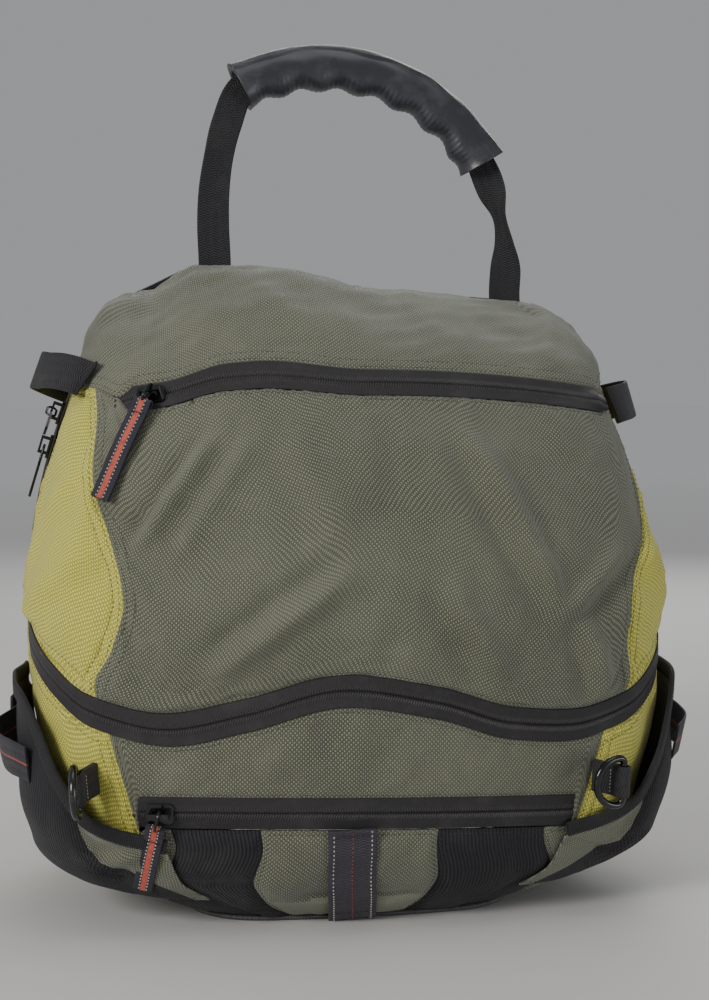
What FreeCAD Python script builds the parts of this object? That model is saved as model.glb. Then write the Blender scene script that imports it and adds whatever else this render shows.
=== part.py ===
import FreeCAD, Part
import math
import os
from FreeCAD import Placement, Rotation, Vector

# Rope storage bag for a tree climber: a sewn fabric shell with a hinged, zipped back panel, four zips,
# two side pockets, a carry handle with a moulded grip, shoulder straps, compression straps and D-rings.
# Millimetres. +Z is up, +X is the wearer's left seen from the front, and the front faces -Y.
# The origin is the middle of the flat underside that the bag stands on.

# ---------------------------------------------------------------- driving dimensions
REAR_Y = 70.0            # rear edge of the sewn shell
BAND_DEPTH = 22.0        # main zip, from the shell's rear edge to the back panel
PANEL_Y = REAR_Y + BAND_DEPTH
PANEL_THICK = 12.0       # foam back panel
PANEL_FOOT = 16.0        # height of the back panel's lower edge
WALL = 3.0               # fabric, padding and lining together
SEAM_GAP = 1.0           # space left between two sewn panels
BASE_THICK = 2.5
BODY_TOP = 400.0         # top of the shell before the handle lifts it
RIM_RADIUS = 384.0       # side curve of the shell's rear edge
RIM_MIDDLE_Z = 180.0
RIM_HALF_WIDTH = 205.0
HANDLE_LIFT = 16.0       # how far the left handle root pulls the top edge up
RIGHT_DROP = 5.0         # how far the right shoulder sags

TAPE_HALF = 9.5          # visible half width of a zip's tape
TAPE_THICK = 1.2
CHAIN_HALF = 1.2         # half of the slot where the closed coil runs
WEBBING = 25.0           # width of the load webbing
WEB_THICK = 1.8
BAR_RADIUS = 2.3         # wire of the D-rings

# height, half width, depth, front radius, corner radius and sideways lean of the shell's sections
STATIONS = [
    (0.0, 95.0, 148.0, 600.0, 45.0, 0.0),
    (8.0, 125.0, 160.0, 580.0, 55.0, 0.0),
    (20.0, 152.0, 174.0, 560.0, 64.0, 0.0),
    (35.0, 175.6, 186.0, 530.0, 70.0, 0.0),
    (60.0, 185.8, 195.0, 510.0, 73.0, 0.0),
    (90.0, 194.3, 200.0, 500.0, 74.0, 0.0),
    (135.0, 202.4, 203.0, 480.0, 72.0, 0.0),
    (185.0, 205.0, 203.0, 470.0, 70.0, 0.0),
    (259.0, 196.8, 190.0, 430.0, 66.0, 0.0),
    (324.0, 177.0, 162.0, 400.0, 60.0, 0.0),
    (359.0, 169.0, 126.0, 380.0, 50.0, 4.0),
    (384.0, 158.0, 80.0, 360.0, 32.0, 4.0),
    (397.0, 140.0, 38.0, 340.0, 16.0, 7.0),
    (400.0, 124.0, 0.0, 330.0, 1.0, 10.0),
]
FRONT_SHARE = 0.5        # the front arc takes |t| from 0 to this
CORNER_SHARE = 0.75      # the corner arc ends here, and the straight side goes on to |t| = 1


def smooth(x):
    """0 to 1 with level ends."""
    x = max(0.0, min(1.0, x))
    return x * x * (3 - 2 * x)


def curve(table, x, column=1):
    """Smooth monotone interpolation in a table whose first column rises."""
    xs = [row[0] for row in table]
    x = max(xs[0], min(xs[-1], x))
    i = max(j for j in range(len(xs) - 1) if xs[j] <= x)
    step = [b - a for a, b in zip(xs, xs[1:])]
    rise = [(b[column] - a[column]) / h for a, b, h in zip(table, table[1:], step)]

    def slope(k):
        if k == 0:
            return rise[0]
        if k == len(xs) - 1:
            return rise[-1]
        before, after = rise[k - 1], rise[k]
        if before * after <= 0:
            return 0.0
        w1, w2 = 2 * step[k] + step[k - 1], step[k] + 2 * step[k - 1]
        return (w1 + w2) / (w1 / before + w2 / after)

    u = (x - xs[i]) / step[i]
    y0, y1 = table[i][column], table[i + 1][column]
    m0, m1 = slope(i) * step[i], slope(i + 1) * step[i]
    return ((2 * u**3 - 3 * u**2 + 1) * y0 + (u**3 - 2 * u**2 + u) * m0
            + (3 * u**2 - 2 * u**3) * y1 + (u**3 - u**2) * m1)


def lift(x, z):
    """How far the handle and the load move the top edge up or down."""
    pulled = HANDLE_LIFT * smooth((x + 125) / 35) * (1 - smooth((x + 40) / 85))
    sagged = RIGHT_DROP * smooth((x - 50) / 80)
    return (pulled - sagged) * smooth((z - 340) / 55)


def shell(t, z):
    """A point of the shell's outside: t runs from -1, the left rear edge, round the front to 1."""
    half, depth, front_r, corner_r, lean = (curve(STATIONS, z, k) for k in range(1, 6))
    corner_r = min(corner_r, max(0.6 * depth, 0.01))
    side, t = (1 if t >= 0 else -1), abs(t)
    turn = math.asin(min(0.99, (half - corner_r) / (front_r - corner_r)))
    front_y = REAR_Y - depth + front_r
    if t <= FRONT_SHARE:
        a = turn * t / FRONT_SHARE
        x, y = front_r * math.sin(a), front_y - front_r * math.cos(a)
    else:
        cx = (front_r - corner_r) * math.sin(turn)
        cy = front_y - (front_r - corner_r) * math.cos(turn)
        if t <= CORNER_SHARE:
            a = turn + (math.pi / 2 - turn) * (t - FRONT_SHARE) / (CORNER_SHARE - FRONT_SHARE)
            x, y = cx + corner_r * math.sin(a), cy - corner_r * math.cos(a)
        else:
            u = (t - CORNER_SHARE) / (1 - CORNER_SHARE)
            x, y = cx + corner_r, cy + (REAR_Y - cy) * u
    x = side * x + lean
    return Vector(x, y, z + lift(x, z))


def outward(t, z):
    """The shell's outward normal."""
    dt, dz = 0.004, 0.6
    along = shell(min(1, t + dt), z) - shell(max(-1, t - dt), z)
    z = min(z, BODY_TOP - 1.5)
    up = shell(t, min(BODY_TOP, z + dz)) - shell(t, max(0, z - dz))
    n = along.cross(up)
    return n.normalize()


def offset_point(t, z, out):
    return shell(t, z) + outward(t, z) * out


# ---------------------------------------------------------------- where the seams and zips run
# (position round the shell, height of the zip's middle)
WAIST_LINE = [(-1.0, 208.0), (-0.72, 176.0), (-0.63, 157.0), (-0.55, 140.0), (-0.41, 130.0), (-0.25, 139.0),
              (-0.06, 153.0), (0.12, 144.0), (0.28, 129.0), (0.42, 125.0), (0.54, 133.0), (0.63, 149.0),
              (0.72, 166.0), (0.78, 175.0), (0.86, 184.1), (0.94, 193.2), (1.0, 200.0)]
FRONT_ZIP_ENDS = (-0.507, 0.592)
LOWER_ZIP_ENDS = (-0.495, 0.465)
# (height, position of the seam between the olive front and the lime side)
LEFT_SEAM = [(60.0, -0.52), (125.0, -0.52), (154.0, -0.535), (178.0, -0.495), (205.0, -0.47), (242.0, -0.50),
             (284.0, -0.565), (320.0, -0.60), (334.0, -0.62)]
RIGHT_SEAM = [(60.0, 0.50), (125.0, 0.50), (150.0, 0.545), (175.0, 0.53), (212.0, 0.55), (236.0, 0.60),
              (270.0, 0.65), (320.0, 0.67), (334.0, 0.68)]
SIDE_TOP_REAR = 356.0    # height of the lime panel's top corner at the rear edge
SIDE_TOP_FRONT = 334.0
PATCH_EDGES = (-0.455, -0.255, 0.15, 0.42)      # seams of the ribbed patches on the boot
POCKET_FRONT, POCKET_REAR = 0.475, 0.87
POCKET_FOOT = 22.0
# (position, height of the side pocket's bound mouth)
POCKET_MOUTH = [(0.45, 52.0), (0.52, 58.0), (0.58, 70.0), (0.61, 92.0), (0.65, 124.0), (0.70, 140.0), (0.90, 146.0)]
POCKET_BULGE = 17.0


def circle_through(a, b, c):
    """Centre, axis and radius of the circle through three points, turning from a to c."""
    axis = (b - a).cross(c - a)
    axis.normalize()
    u, v = b - a, c - a
    n = u.cross(v)
    centre = a + (v.cross(n) * u.Length**2 + n.cross(u) * v.Length**2) * (1 / (2 * n.Length**2))
    return centre, axis, (a - centre).Length


class ArcZip:
    """A zip whose chain is one circular arc, so that its slider turns about the arc's axis."""

    def __init__(self, start, middle, end):
        self.a, self.m, self.b = (shell(*p) for p in (start, middle, end))
        self.centre, self.axis, self.radius = circle_through(self.a, self.m, self.b)
        ra, rb = self.a - self.centre, self.b - self.centre
        self.turn = math.degrees(ra.getAngle(rb))
        self.normal = outward(*start)
        self.tangent = self.axis.cross(ra).normalize()
        self.normal = (self.normal - self.tangent * self.normal.dot(self.tangent)).normalize()
        self.across = self.normal.cross(self.tangent)      # roughly up
        along = [self.point(self.turn * i / 20) for i in range(-5, 26)]
        self.profile = [(p.x, p.z) for p in along]
        self.room = TAPE_HALF * self.across.z + 1.6        # half the height that the tape takes in the shell

    def height(self, t):
        """Height where the chain passes position t of the shell."""
        z = self.a.z
        for _ in range(4):
            z = curve(self.profile, shell(t, z).x)
        return z

    def point(self, degrees):
        return self.centre + Rotation(self.axis, degrees).multVec(self.a - self.centre)

    def swept(self, low, high, inner, outer, before, after):
        """A strip of the zip: across from low to high, and from inner to outer along the normal."""
        corners = [self.a + self.across * s + self.normal * n
                   for s, n in ((low, inner), (high, inner), (high, outer), (low, outer))]
        face = Part.Face(Part.makePolygon(corners + corners[:1]))
        face.rotate(self.centre, self.axis, -before)
        return face.revolve(self.centre, self.axis, self.turn + before + after)


FRONT_ZIP = ArcZip((-0.47, 329.0), (0.0, 337.5), (0.555, 327.0))
LOWER_ZIP = ArcZip((-0.465, 79.0), (0.0, 77.0), (0.43, 71.0))
END_MARGIN = 1.4         # degrees of tape past each end of a slider's travel


def waist(t):
    return curve(WAIST_LINE, t)


def seam(side, z):
    return curve(LEFT_SEAM if side < 0 else RIGHT_SEAM, z)


def side_top(t):
    """Top edge of the lime side panel, which climbs from the front seam to the rear edge."""
    start = abs(seam(t, SIDE_TOP_FRONT))
    return SIDE_TOP_FRONT + (SIDE_TOP_REAR - SIDE_TOP_FRONT) * smooth((abs(t) - start) / (1 - start))


def past_end(t, ends):
    """0 along a zip, rising to 1 a little way past its ends."""
    return smooth((ends[0] - t) / 0.06) + smooth((t - ends[1]) / 0.06)


def shoulder(t):
    """The seam between the front panel and the yoke: the front zip, then up to the side panels' top corners."""
    end = abs(FRONT_ZIP_ENDS[0] if t < 0 else FRONT_ZIP_ENDS[1])
    u = smooth((abs(t) - end) / (abs(seam(t, SIDE_TOP_FRONT)) - end))
    return FRONT_ZIP.height(t) * (1 - u) + SIDE_TOP_FRONT * u


def front_room(t):
    return FRONT_ZIP.room * (1 - past_end(t, FRONT_ZIP_ENDS))


def boot_top(t):
    """Top edge of the boot: along the lower zip, then dropping behind the side pockets."""
    drop = smooth((abs(t) - 0.50) / 0.12)
    return (LOWER_ZIP.height(t) - LOWER_ZIP.room) * (1 - drop) + 30.0 * drop


def band_foot(t):
    """Lower edge of the band above the lower zip. It closes on the boot past the zip's ends."""
    closed = smooth((LOWER_ZIP_ENDS[0] - t) / 0.03) + smooth((t - LOWER_ZIP_ENDS[1]) / 0.03)
    return boot_top(t) + 1.0 + (2 * LOWER_ZIP.room - 1.0) * (1 - closed)


def roof(x, y):
    """Height of the shell's top above a point of the plan, before the handle lifts it."""

    def covers(z):
        half, depth, front_r, corner_r, lean = (curve(STATIONS, z, k) for k in range(1, 6))
        corner_r = min(corner_r, max(0.6 * depth, 0.01))
        turn = math.asin(min(0.99, (half - corner_r) / (front_r - corner_r)))
        front_y = REAR_Y - depth + front_r
        cx, cy = (front_r - corner_r) * math.sin(turn), front_y - (front_r - corner_r) * math.cos(turn)
        dx = abs(x - lean)
        if y >= cy:
            return dx <= cx + corner_r
        if math.atan2(dx - cx, cy - y) > turn:
            return math.hypot(dx - cx, y - cy) <= corner_r
        return math.hypot(dx, y - front_y) <= front_r

    low, high = 200.0, BODY_TOP
    for _ in range(26):
        mid = (low + high) / 2
        if covers(mid):
            low = mid
        else:
            high = mid
    return low


# ---------------------------------------------------------------- solids from grids and sections
def grid_solid(place, across, along, inner, outer):
    """Closed solid between two offsets of a curved patch. place(a, b, out) gives a point, a and b from 0 to 1."""
    surfaces = []
    for out in (outer, inner):
        rows = [[place(i / across, j / along, out) for j in range(along + 1)] for i in range(across + 1)]
        surface = Part.BSplineSurface()
        surface.interpolate(rows)
        surfaces.append(surface)
    skin, back = surfaces
    faces = [skin.toShape(), back.toShape()]
    u0, u1, v0, v1 = skin.bounds()
    p0, p1, q0, q1 = back.bounds()
    pairs = [(skin.uIso(u0), back.uIso(p0)), (skin.uIso(u1), back.uIso(p1)),
             (skin.vIso(v0), back.vIso(q0)), (skin.vIso(v1), back.vIso(q1))]
    faces += [Part.makeRuledSurface(a.toShape(), b.toShape()) for a, b in pairs]
    body = Part.Shell(faces)
    body.sewShape()
    solid = Part.Solid(body)
    solid.fixTolerance(1e-4)
    if solid.Volume < 0:
        solid.reverse()
    return solid


def panel(left, right, bottom, top, across=12, along=8, inner=-WALL, outer=0.0, bulge=None):
    """A sewn panel of the shell between seams left(z), right(z), bottom(t) and top(t)."""

    def place(a, b, out):
        t = left(BODY_TOP / 2) * (1 - a) + right(BODY_TOP / 2) * a
        for _ in range(8):
            low, high = bottom(t) + SEAM_GAP / 2, min(BODY_TOP, top(t) - SEAM_GAP / 2)
            z = low + (high - low) * b
            inset = 0.0024
            t = (left(z) + inset) * (1 - a) + (right(z) - inset) * a
        if bulge:
            out = out + bulge(t, z)
        return offset_point(t, z, out)

    return grid_solid(place, across, along, inner, outer)


def placed(shape, origin, x_dir, z_dir):
    """Moves a shape drawn at the origin so that its X and Z axes follow x_dir and z_dir."""
    z_dir = Vector(z_dir).normalize()
    x_dir = (x_dir - z_dir * x_dir.dot(z_dir)).normalize()
    rotation = Rotation(x_dir, z_dir.cross(x_dir), z_dir, "ZXY")
    shape = shape.copy()
    shape.Placement = Placement(origin, rotation).multiply(shape.Placement)
    return shape


def block(x0, x1, y0, y1, z0, z1):
    return Part.makeBox(x1 - x0, y1 - y0, z1 - z0, Vector(x0, y0, z0))


NODES = {}


def keep(name, *shapes):
    """Files solids under a node's name."""
    NODES.setdefault(name, []).extend(shapes)


# ---------------------------------------------------------------- sewn panels of the shell
def yoke_point(a, b, out):
    """The yoke in plan: a runs from its left tip to its right one, b from its front edge to the rear edge."""
    t = -0.992 + 1.984 * a
    start = abs(seam(t, SIDE_TOP_FRONT))
    edge = shoulder(t) + front_room(t) if abs(t) < start else side_top(t)
    front = shell(t, edge + 3.2)
    tips = [shell(s * 0.97, SIDE_TOP_REAR + SEAM_GAP / 2).x for s in (-1, 1)]
    x = front.x * (1 - b) + (tips[0] * (1 - a) + tips[1] * a) * b
    y = front.y * (1 - b) + (REAR_Y - 0.4) * b
    step = 1.0
    slope_x = (roof(x + step, y) - roof(x - step, y)) / (2 * step)
    slope_y = (roof(x, min(y + step, REAR_Y)) - roof(x, y - step)) / (min(y + step, REAR_Y) - y + step)
    n = Vector(-slope_x, -slope_y, 1).normalize()
    z = roof(x, y)
    p = Vector(x, y, z + lift(x, z)) + n * out
    return Vector(p.x, min(p.y, REAR_Y - 0.3), p.z)


def mirrored(side, rear, front):
    """Left and right limits of a panel that runs from position rear to position front on one side."""
    ends = [lambda z: side * rear, front if callable(front) else lambda z: side * front]
    return ends if side < 0 else ends[::-1]


def make_panels():
    tape = TAPE_HALF + 1.0
    front = (lambda z: seam(-1, z), lambda z: seam(1, z))
    keep("front_panel", panel(*front, lambda t: waist(t) + tape, lambda t: shoulder(t) - front_room(t), 44, 16))
    keep("top_yoke", grid_solid(yoke_point, 48, 12, -WALL, 0))
    keep("lower_front_band", panel(*front, band_foot, lambda t: waist(t) - tape, 40, 8))
    for side, word in ((-1, "left"), (1, "right")):
        ends = mirrored(side, 1.0, lambda z, s=side: seam(s, z))
        keep(f"side_panel_{word}", panel(*ends, lambda t: waist(t) + tape, side_top, 20, 16))
        keep(f"lower_gusset_{word}", panel(*ends, boot_top, lambda t: waist(t) - tape, 28, 12))
    floor = BASE_THICK + 0.4
    edges = (-1.0,) + PATCH_EDGES + (1.0,)
    names = ("boot_corner_left", "boot_patch_left", "boot_centre", "boot_patch_right", "boot_corner_right")
    for name, start, end in zip(names, edges, edges[1:]):
        count = 30 if "corner" in name else 8
        keep(name, panel(lambda z, s=start: s, lambda z, e=end: e, lambda t: floor, boot_top, count, 16))
    outline = [shell(i / 20, floor) for i in range(-20, 21)]
    outline = [Vector(p.x, p.y, 0) for p in outline]
    rim = Part.BSplineCurve()
    rim.interpolate(outline)
    face = Part.Face(Part.Wire([rim.toShape(), Part.makeLine(outline[-1], outline[0])]))
    keep("base_panel", face.extrude(Vector(0, 0, BASE_THICK)))


# ---------------------------------------------------------------- rear edge, main zip and back panel
MAIN_ZIP_FOOT = 42.0     # height where the main zip starts on each side
MAIN_CHAIN_Y = REAR_Y + BAND_DEPTH / 2


def rim_point(side, z):
    """A point of the rear edge, which is a circular arc up to the shoulder."""
    if z <= 324.0:
        x = RIM_HALF_WIDTH - RIM_RADIUS + math.sqrt(RIM_RADIUS**2 - (z - RIM_MIDDLE_Z) ** 2)
        return Vector(side * x, REAR_Y, z)
    return shell(side, z)


def rear_edge(z_from):
    """The rear edge from the left side at z_from over the top to the right side."""
    heights = [z_from + (324.0 - z_from) * i / 10 for i in range(11)] + [340, 353, 366, 378, 388, 395]
    left, right = ([rim_point(side, z) for z in heights] for side in (-1, 1))
    top = [shell(i / 10, BODY_TOP) for i in range(-5, 6)]
    return left + top + right[::-1]


def foot_edge():
    """The rest of the rear edge: down from the zip's left foot, under the bag and up to the right one."""
    left = [rim_point(-1, MAIN_ZIP_FOOT - 1)] + [shell(-1, z) for z in (34, 27, 20, 14, 9, 5)]
    under = [Vector(x, REAR_Y, 0.8) for x in (-88, -50, 0, 50, 88)]
    return left + under + [Vector(-p.x, p.y, p.z) for p in left[::-1]]


def outline_strip(points, y0, y1, thick):
    """A strip that follows an outline in XZ, thick to its right-hand side, from y0 to y1."""
    flat = [Vector(p.x, 0, p.z) for p in points]
    inner = []
    for i, p in enumerate(flat):
        ahead = flat[min(i + 1, len(flat) - 1)] - flat[max(i - 1, 0)]
        inner.append(p + Vector(0, 1, 0).cross(ahead).normalize() * thick)
    curves = []
    for line in (flat, inner):
        spline = Part.BSplineCurve()
        spline.interpolate(line)
        curves.append(spline.toShape())
    wire = Part.Wire([curves[0], Part.makeLine(flat[-1], inner[-1]), curves[1], Part.makeLine(inner[0], flat[0])])
    strip = Part.Face(wire).extrude(Vector(0, y1 - y0, 0))
    strip.translate(Vector(0, y0, 0))
    return strip


def make_main_zip():
    line, gap = rear_edge(MAIN_ZIP_FOOT), 0.5
    keep("main_zip_tape_shell", outline_strip(line, REAR_Y + gap, MAIN_CHAIN_Y - CHAIN_HALF, TAPE_THICK))
    keep("main_zip_tape_panel", outline_strip(line, MAIN_CHAIN_Y + CHAIN_HALF, PANEL_Y - gap, TAPE_THICK))
    keep("hinge_gusset", outline_strip(foot_edge(), REAR_Y + gap, PANEL_Y - gap, -2.0))


PAD_Y = PANEL_Y + PANEL_THICK
PAD_THICK = 9.0


def pad_prism(x0, x1, z0, z1, radius):
    """A back pad: a block with rounded upright edges and a softened rear face."""
    pad = block(x0, x1, PAD_Y + 0.3, PAD_Y + PAD_THICK, z0, z1)
    upright = [e for e in pad.Edges if abs(e.tangentAt(e.FirstParameter).y) > 0.9]
    pad = pad.makeFillet(radius, upright)
    rear = [e for e in pad.Edges if all(abs(v.Point.y - PAD_Y - PAD_THICK) < 0.01 for v in e.Vertexes)]
    return pad.makeFillet(3.5, rear)


def make_back_panel():
    flat = [Vector(p.x, PANEL_Y, p.z) for p in rear_edge(PANEL_FOOT)]
    rim = Part.BSplineCurve()
    rim.interpolate(flat)
    face = Part.Face(Part.Wire([rim.toShape(), Part.makeLine(flat[-1], flat[0])]))
    keep("back_panel", face.extrude(Vector(0, PANEL_THICK, 0)))
    for side, word in ((-1, "left"), (1, "right")):
        x0, x1 = sorted((side * 14, side * 74))
        keep(f"back_pad_{word}", pad_prism(x0, x1, 118, 330, 22))
    keep("lumbar_pad", pad_prism(-112, 112, 50, 108, 24))


# ---------------------------------------------------------------- zips
SLIDER_LENGTH, SLIDER_WIDTH, WING = 17.0, 12.5, 1.5
WING_GAP = 0.35          # space between a slider's wings and the tape
BRIDGE_LOW, BRIDGE_THICK = 6.2, 1.5
BRIDGE_MIDDLE = BRIDGE_LOW + BRIDGE_THICK / 2
HOLE_MIDDLE = (WING_GAP + WING + BRIDGE_LOW) / 2
LOOP_HALF, LOOP_LENGTH, LOOP_WIRE = 3.2, 12.0, 0.9
TAB_WIDE, TAB_THICK = 10.5, 2.4
PIVOTS = {}


def rounded(shape, radius, axis):
    """Fillets the edges that run along an axis."""
    return shape.makeFillet(radius, [e for e in shape.Edges if e.tangentAt(e.FirstParameter).cross(axis).Length < 0.1])


def slider_solid():
    """A slider on a tape whose outside is z = 0 and whose chain runs along X. Its crown has a hole along Y."""
    top = block(-SLIDER_LENGTH / 2, SLIDER_LENGTH / 2, -SLIDER_WIDTH / 2, SLIDER_WIDTH / 2, WING_GAP, WING_GAP + WING)
    low = -TAPE_THICK - WING_GAP
    bottom = block(-SLIDER_LENGTH / 2, SLIDER_LENGTH / 2, -SLIDER_WIDTH / 2, SLIDER_WIDTH / 2, low - WING, low)
    post = block(-2.5, 3.5, -0.7, 0.7, low - WING / 2, WING_GAP + WING / 2)
    legs = [block(x, x + 2.2, -1.8, 1.8, WING_GAP + WING / 2, BRIDGE_MIDDLE) for x in (-6.2, 4.0)]
    bridge = block(-6.2, 6.2, -1.8, 1.8, BRIDGE_LOW, BRIDGE_LOW + BRIDGE_THICK)
    plates = [rounded(p, 2.6, Vector(0, 0, 1)) for p in (top, bottom)]
    return plates[0].fuse([plates[1], post, bridge] + legs).removeSplitter()


def loop_solid(wire):
    """A long wire loop in the XY plane. The middle of its near end's arc is the origin."""
    run = LOOP_LENGTH - 2 * LOOP_HALF
    path = Part.Wire([
        Part.makeLine(Vector(0, LOOP_HALF, 0), Vector(run, LOOP_HALF, 0)),
        Part.Arc(Vector(run, LOOP_HALF, 0), Vector(run + LOOP_HALF, 0, 0), Vector(run, -LOOP_HALF, 0)).toShape(),
        Part.makeLine(Vector(run, -LOOP_HALF, 0), Vector(0, -LOOP_HALF, 0)),
        Part.Arc(Vector(0, -LOOP_HALF, 0), Vector(-LOOP_HALF, 0, 0), Vector(0, LOOP_HALF, 0)).toShape()])
    ring = Part.Wire(Part.makeCircle(wire, Vector(0, LOOP_HALF, 0), Vector(1, 0, 0)))
    return path.makePipeShell([ring], True, False)


def tab_solid(length, wide, thick, upright):
    """A pull tab along X, flat in XY, whose eye holds the loop's far end. upright: the loop stands in XZ."""
    eye = LOOP_LENGTH - LOOP_HALF
    tab = rounded(block(eye + 3.2, length, -wide / 2, wide / 2, -thick / 2, thick / 2), 0.8, Vector(0, 1, 0))
    axis = Vector(0, 0, 1) if upright else Vector(0, 1, 0)
    head = Part.makeCylinder(LOOP_WIRE + 1.6, 3.2, Vector(eye, 0, 0) - axis * 1.6, axis)
    neck = block(eye, eye + 5, -1.6, 1.6, -thick / 2, thick / 2)
    room = loop_solid(LOOP_WIRE + 0.35)
    if upright:
        room.rotate(Vector(), Vector(1, 0, 0), 90)
    return head.fuse([neck, tab]).cut(room).removeSplitter()


def metal_pull(length, upright):
    """A cast pull: a loop in one piece with a slim plate."""
    loop = loop_solid(LOOP_WIRE)
    if upright:
        loop.rotate(Vector(), Vector(1, 0, 0), 90)
    plate = rounded(block(LOOP_LENGTH - LOOP_HALF, length, -3.4, 3.4, -0.9, 0.9), 2.4, Vector(0, 0, 1))
    return loop.fuse(plate).removeSplitter()


def zip_hardware(name, origin, along, normal, hang, length, metal=False):
    """A slider on the chain at origin, with a pull that hangs along the vector hang."""
    normal = (normal - along * normal.dot(along)).normalize()
    keep(f"{name}_slider", placed(slider_solid(), origin, along, normal))
    hang = Vector(hang).normalize()
    upright = abs(hang.dot(along)) < 0.8
    pivot = origin + normal * (BRIDGE_MIDDLE if upright else HOLE_MIDDLE)
    seat = pivot if upright else pivot + hang * LOOP_HALF
    if metal:
        keep(f"{name}_pull", placed(metal_pull(length, upright), seat, hang, normal))
    else:
        loop = loop_solid(LOOP_WIRE)
        if upright:
            loop.rotate(Vector(), Vector(1, 0, 0), 90)
        keep(f"{name}_pull_ring", placed(loop, seat, hang, normal))
        keep(f"{name}_pull_tab", placed(tab_solid(length, TAB_WIDE, TAB_THICK, upright), seat, hang, normal))
    axis = Vector(along) if upright else normal.cross(along).normalize()
    PIVOTS[name] = (pivot, axis if axis.cross(hang).dot(normal) > 0 else -axis)


def hang_over(pivot, t, z, clear):
    """Direction from a pull's pivot to a point that stands clear of the shell at (t, z)."""
    return (offset_point(t, z, clear) - pivot).normalize()


def make_arc_zip(name, line, end_t, end_z, length):
    upper = line.swept(CHAIN_HALF, TAPE_HALF, -TAPE_THICK, 0, END_MARGIN, END_MARGIN)
    lower = line.swept(-TAPE_HALF, -CHAIN_HALF, -TAPE_THICK, 0, END_MARGIN, END_MARGIN)
    keep(f"{name}_tape", upper, lower)
    hang = hang_over(line.a + line.normal * BRIDGE_MIDDLE, end_t, end_z, 7.5)
    zip_hardware(name, line.a, line.tangent, line.normal, hang, length)


def waist_strip(low, high):
    def place(a, b, out):
        t = -0.998 + 1.996 * a
        return offset_point(t, waist(t) + low + (high - low) * b, out)

    return grid_solid(place, 60, 2, -TAPE_THICK, 0)


WAIST_SLIDER_T = (0.95, 0.825)     # where the waist zip's slider rests and where its straight run ends
WAIST_PULL = 26.0


def make_waist_zip():
    """The waist zip goes round the front and both sides. Its slider rides on the straight right side."""
    keep("waist_zip_tape", waist_strip(CHAIN_HALF, TAPE_HALF), waist_strip(-TAPE_HALF, -CHAIN_HALF))
    start, end = (shell(t, waist(t)) for t in WAIST_SLIDER_T)
    along = Vector(end - start).normalize()
    normal = outward(0.89, waist(0.89))
    hang = hang_over(start + normal * BRIDGE_MIDDLE, 0.95, waist(0.95) - WAIST_PULL, 7.5)
    zip_hardware("waist_zip", start, along, normal, hang, WAIST_PULL, True)


MAIN_SLIDERS = {"lower": 292.0, "upper": 315.0}      # heights where the main zip's two sliders meet
MAIN_SLIDER_STOP = 64.0


def main_zip_turn(z):
    """Angle round the rear edge's arc at height z."""
    return math.asin((z - RIM_MIDDLE_Z) / RIM_RADIUS)


def make_main_sliders():
    """Both sliders meet on the left, where they close the main zip."""
    centre = Vector(RIM_RADIUS - RIM_HALF_WIDTH, MAIN_CHAIN_Y, RIM_MIDDLE_Z)
    for word, z in MAIN_SLIDERS.items():
        rise = main_zip_turn(z)
        normal = Vector(-math.cos(rise), 0, math.sin(rise))
        down = Vector(-math.sin(rise), 0, -math.cos(rise))
        hang = down if word == "lower" else down * 0.45 - Vector(0, 0.9, 0)
        zip_hardware(f"main_zip_{word}", centre + normal * RIM_RADIUS, down, normal, hang + normal * 0.05, 34, True)


# ---------------------------------------------------------------- side pockets
def pocket_bulge(t, z):
    """How far a side pocket's wall stands off the shell: most low down, and less towards the mouth."""
    t = abs(t)
    side = smooth((t - POCKET_FRONT) / 0.20) * smooth((POCKET_REAR - t) / 0.07)
    return POCKET_BULGE * side * smooth((z - POCKET_FOOT) / 34) * (1 - 0.55 * smooth((z - 70) / 66))


def pocket_mouth(t):
    return curve(POCKET_MOUTH, abs(t))


def make_pockets():
    for side, word in ((-1, "left"), (1, "right")):
        ends = mirrored(side, POCKET_REAR, POCKET_FRONT)
        keep(f"side_pocket_{word}", panel(*ends, lambda t: POCKET_FOOT, pocket_mouth, 26, 12, 1.2, 3.0, pocket_bulge))
        keep(f"pocket_binding_{word}", panel(*ends, lambda t: pocket_mouth(t) + 0.2, lambda t: pocket_mouth(t) + 10,
                                             26, 3, 1.0, 3.8, pocket_bulge))


# ---------------------------------------------------------------- webbing and small hardware
def strip_solid(points, thins, wide, thick):
    """Webbing lofted smoothly through points. thins are its face normals, wide its width."""
    rows = {1: [], -1: []}
    for i, p in enumerate(points):
        ahead = (points[min(i + 1, len(points) - 1)] - points[max(i - 1, 0)]).normalize()
        thin = (thins[i] - ahead * thins[i].dot(ahead)).normalize()
        side = ahead.cross(thin) * (wide[i] if isinstance(wide, list) else wide) * 0.5
        for face in (1, -1):
            rows[face].append([p + thin * thick * 0.5 * face - side, p + thin * thick * 0.5 * face + side])
    last = len(points) - 1

    def place(a, b, out):
        left, right = rows[1 if out > 0 else -1][round(a * last)]
        return left * (1 - b) + right * b

    return grid_solid(place, last, 1, -1, 1)


def make_front_strap():
    """The webbing strap sewn down the middle of the boot."""
    low, high = 7.0, LOWER_ZIP.height(-0.05) - LOWER_ZIP.room - 0.5

    def place(a, b, out):
        return offset_point(-0.098 + 0.094 * a, low + (high - low) * b, out)

    keep("front_strap", grid_solid(place, 6, 9, 1.7, 3.5))


D_BAR_HALF, D_CORNER, D_BOW = 11.0, 4.0, 15.0


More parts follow.
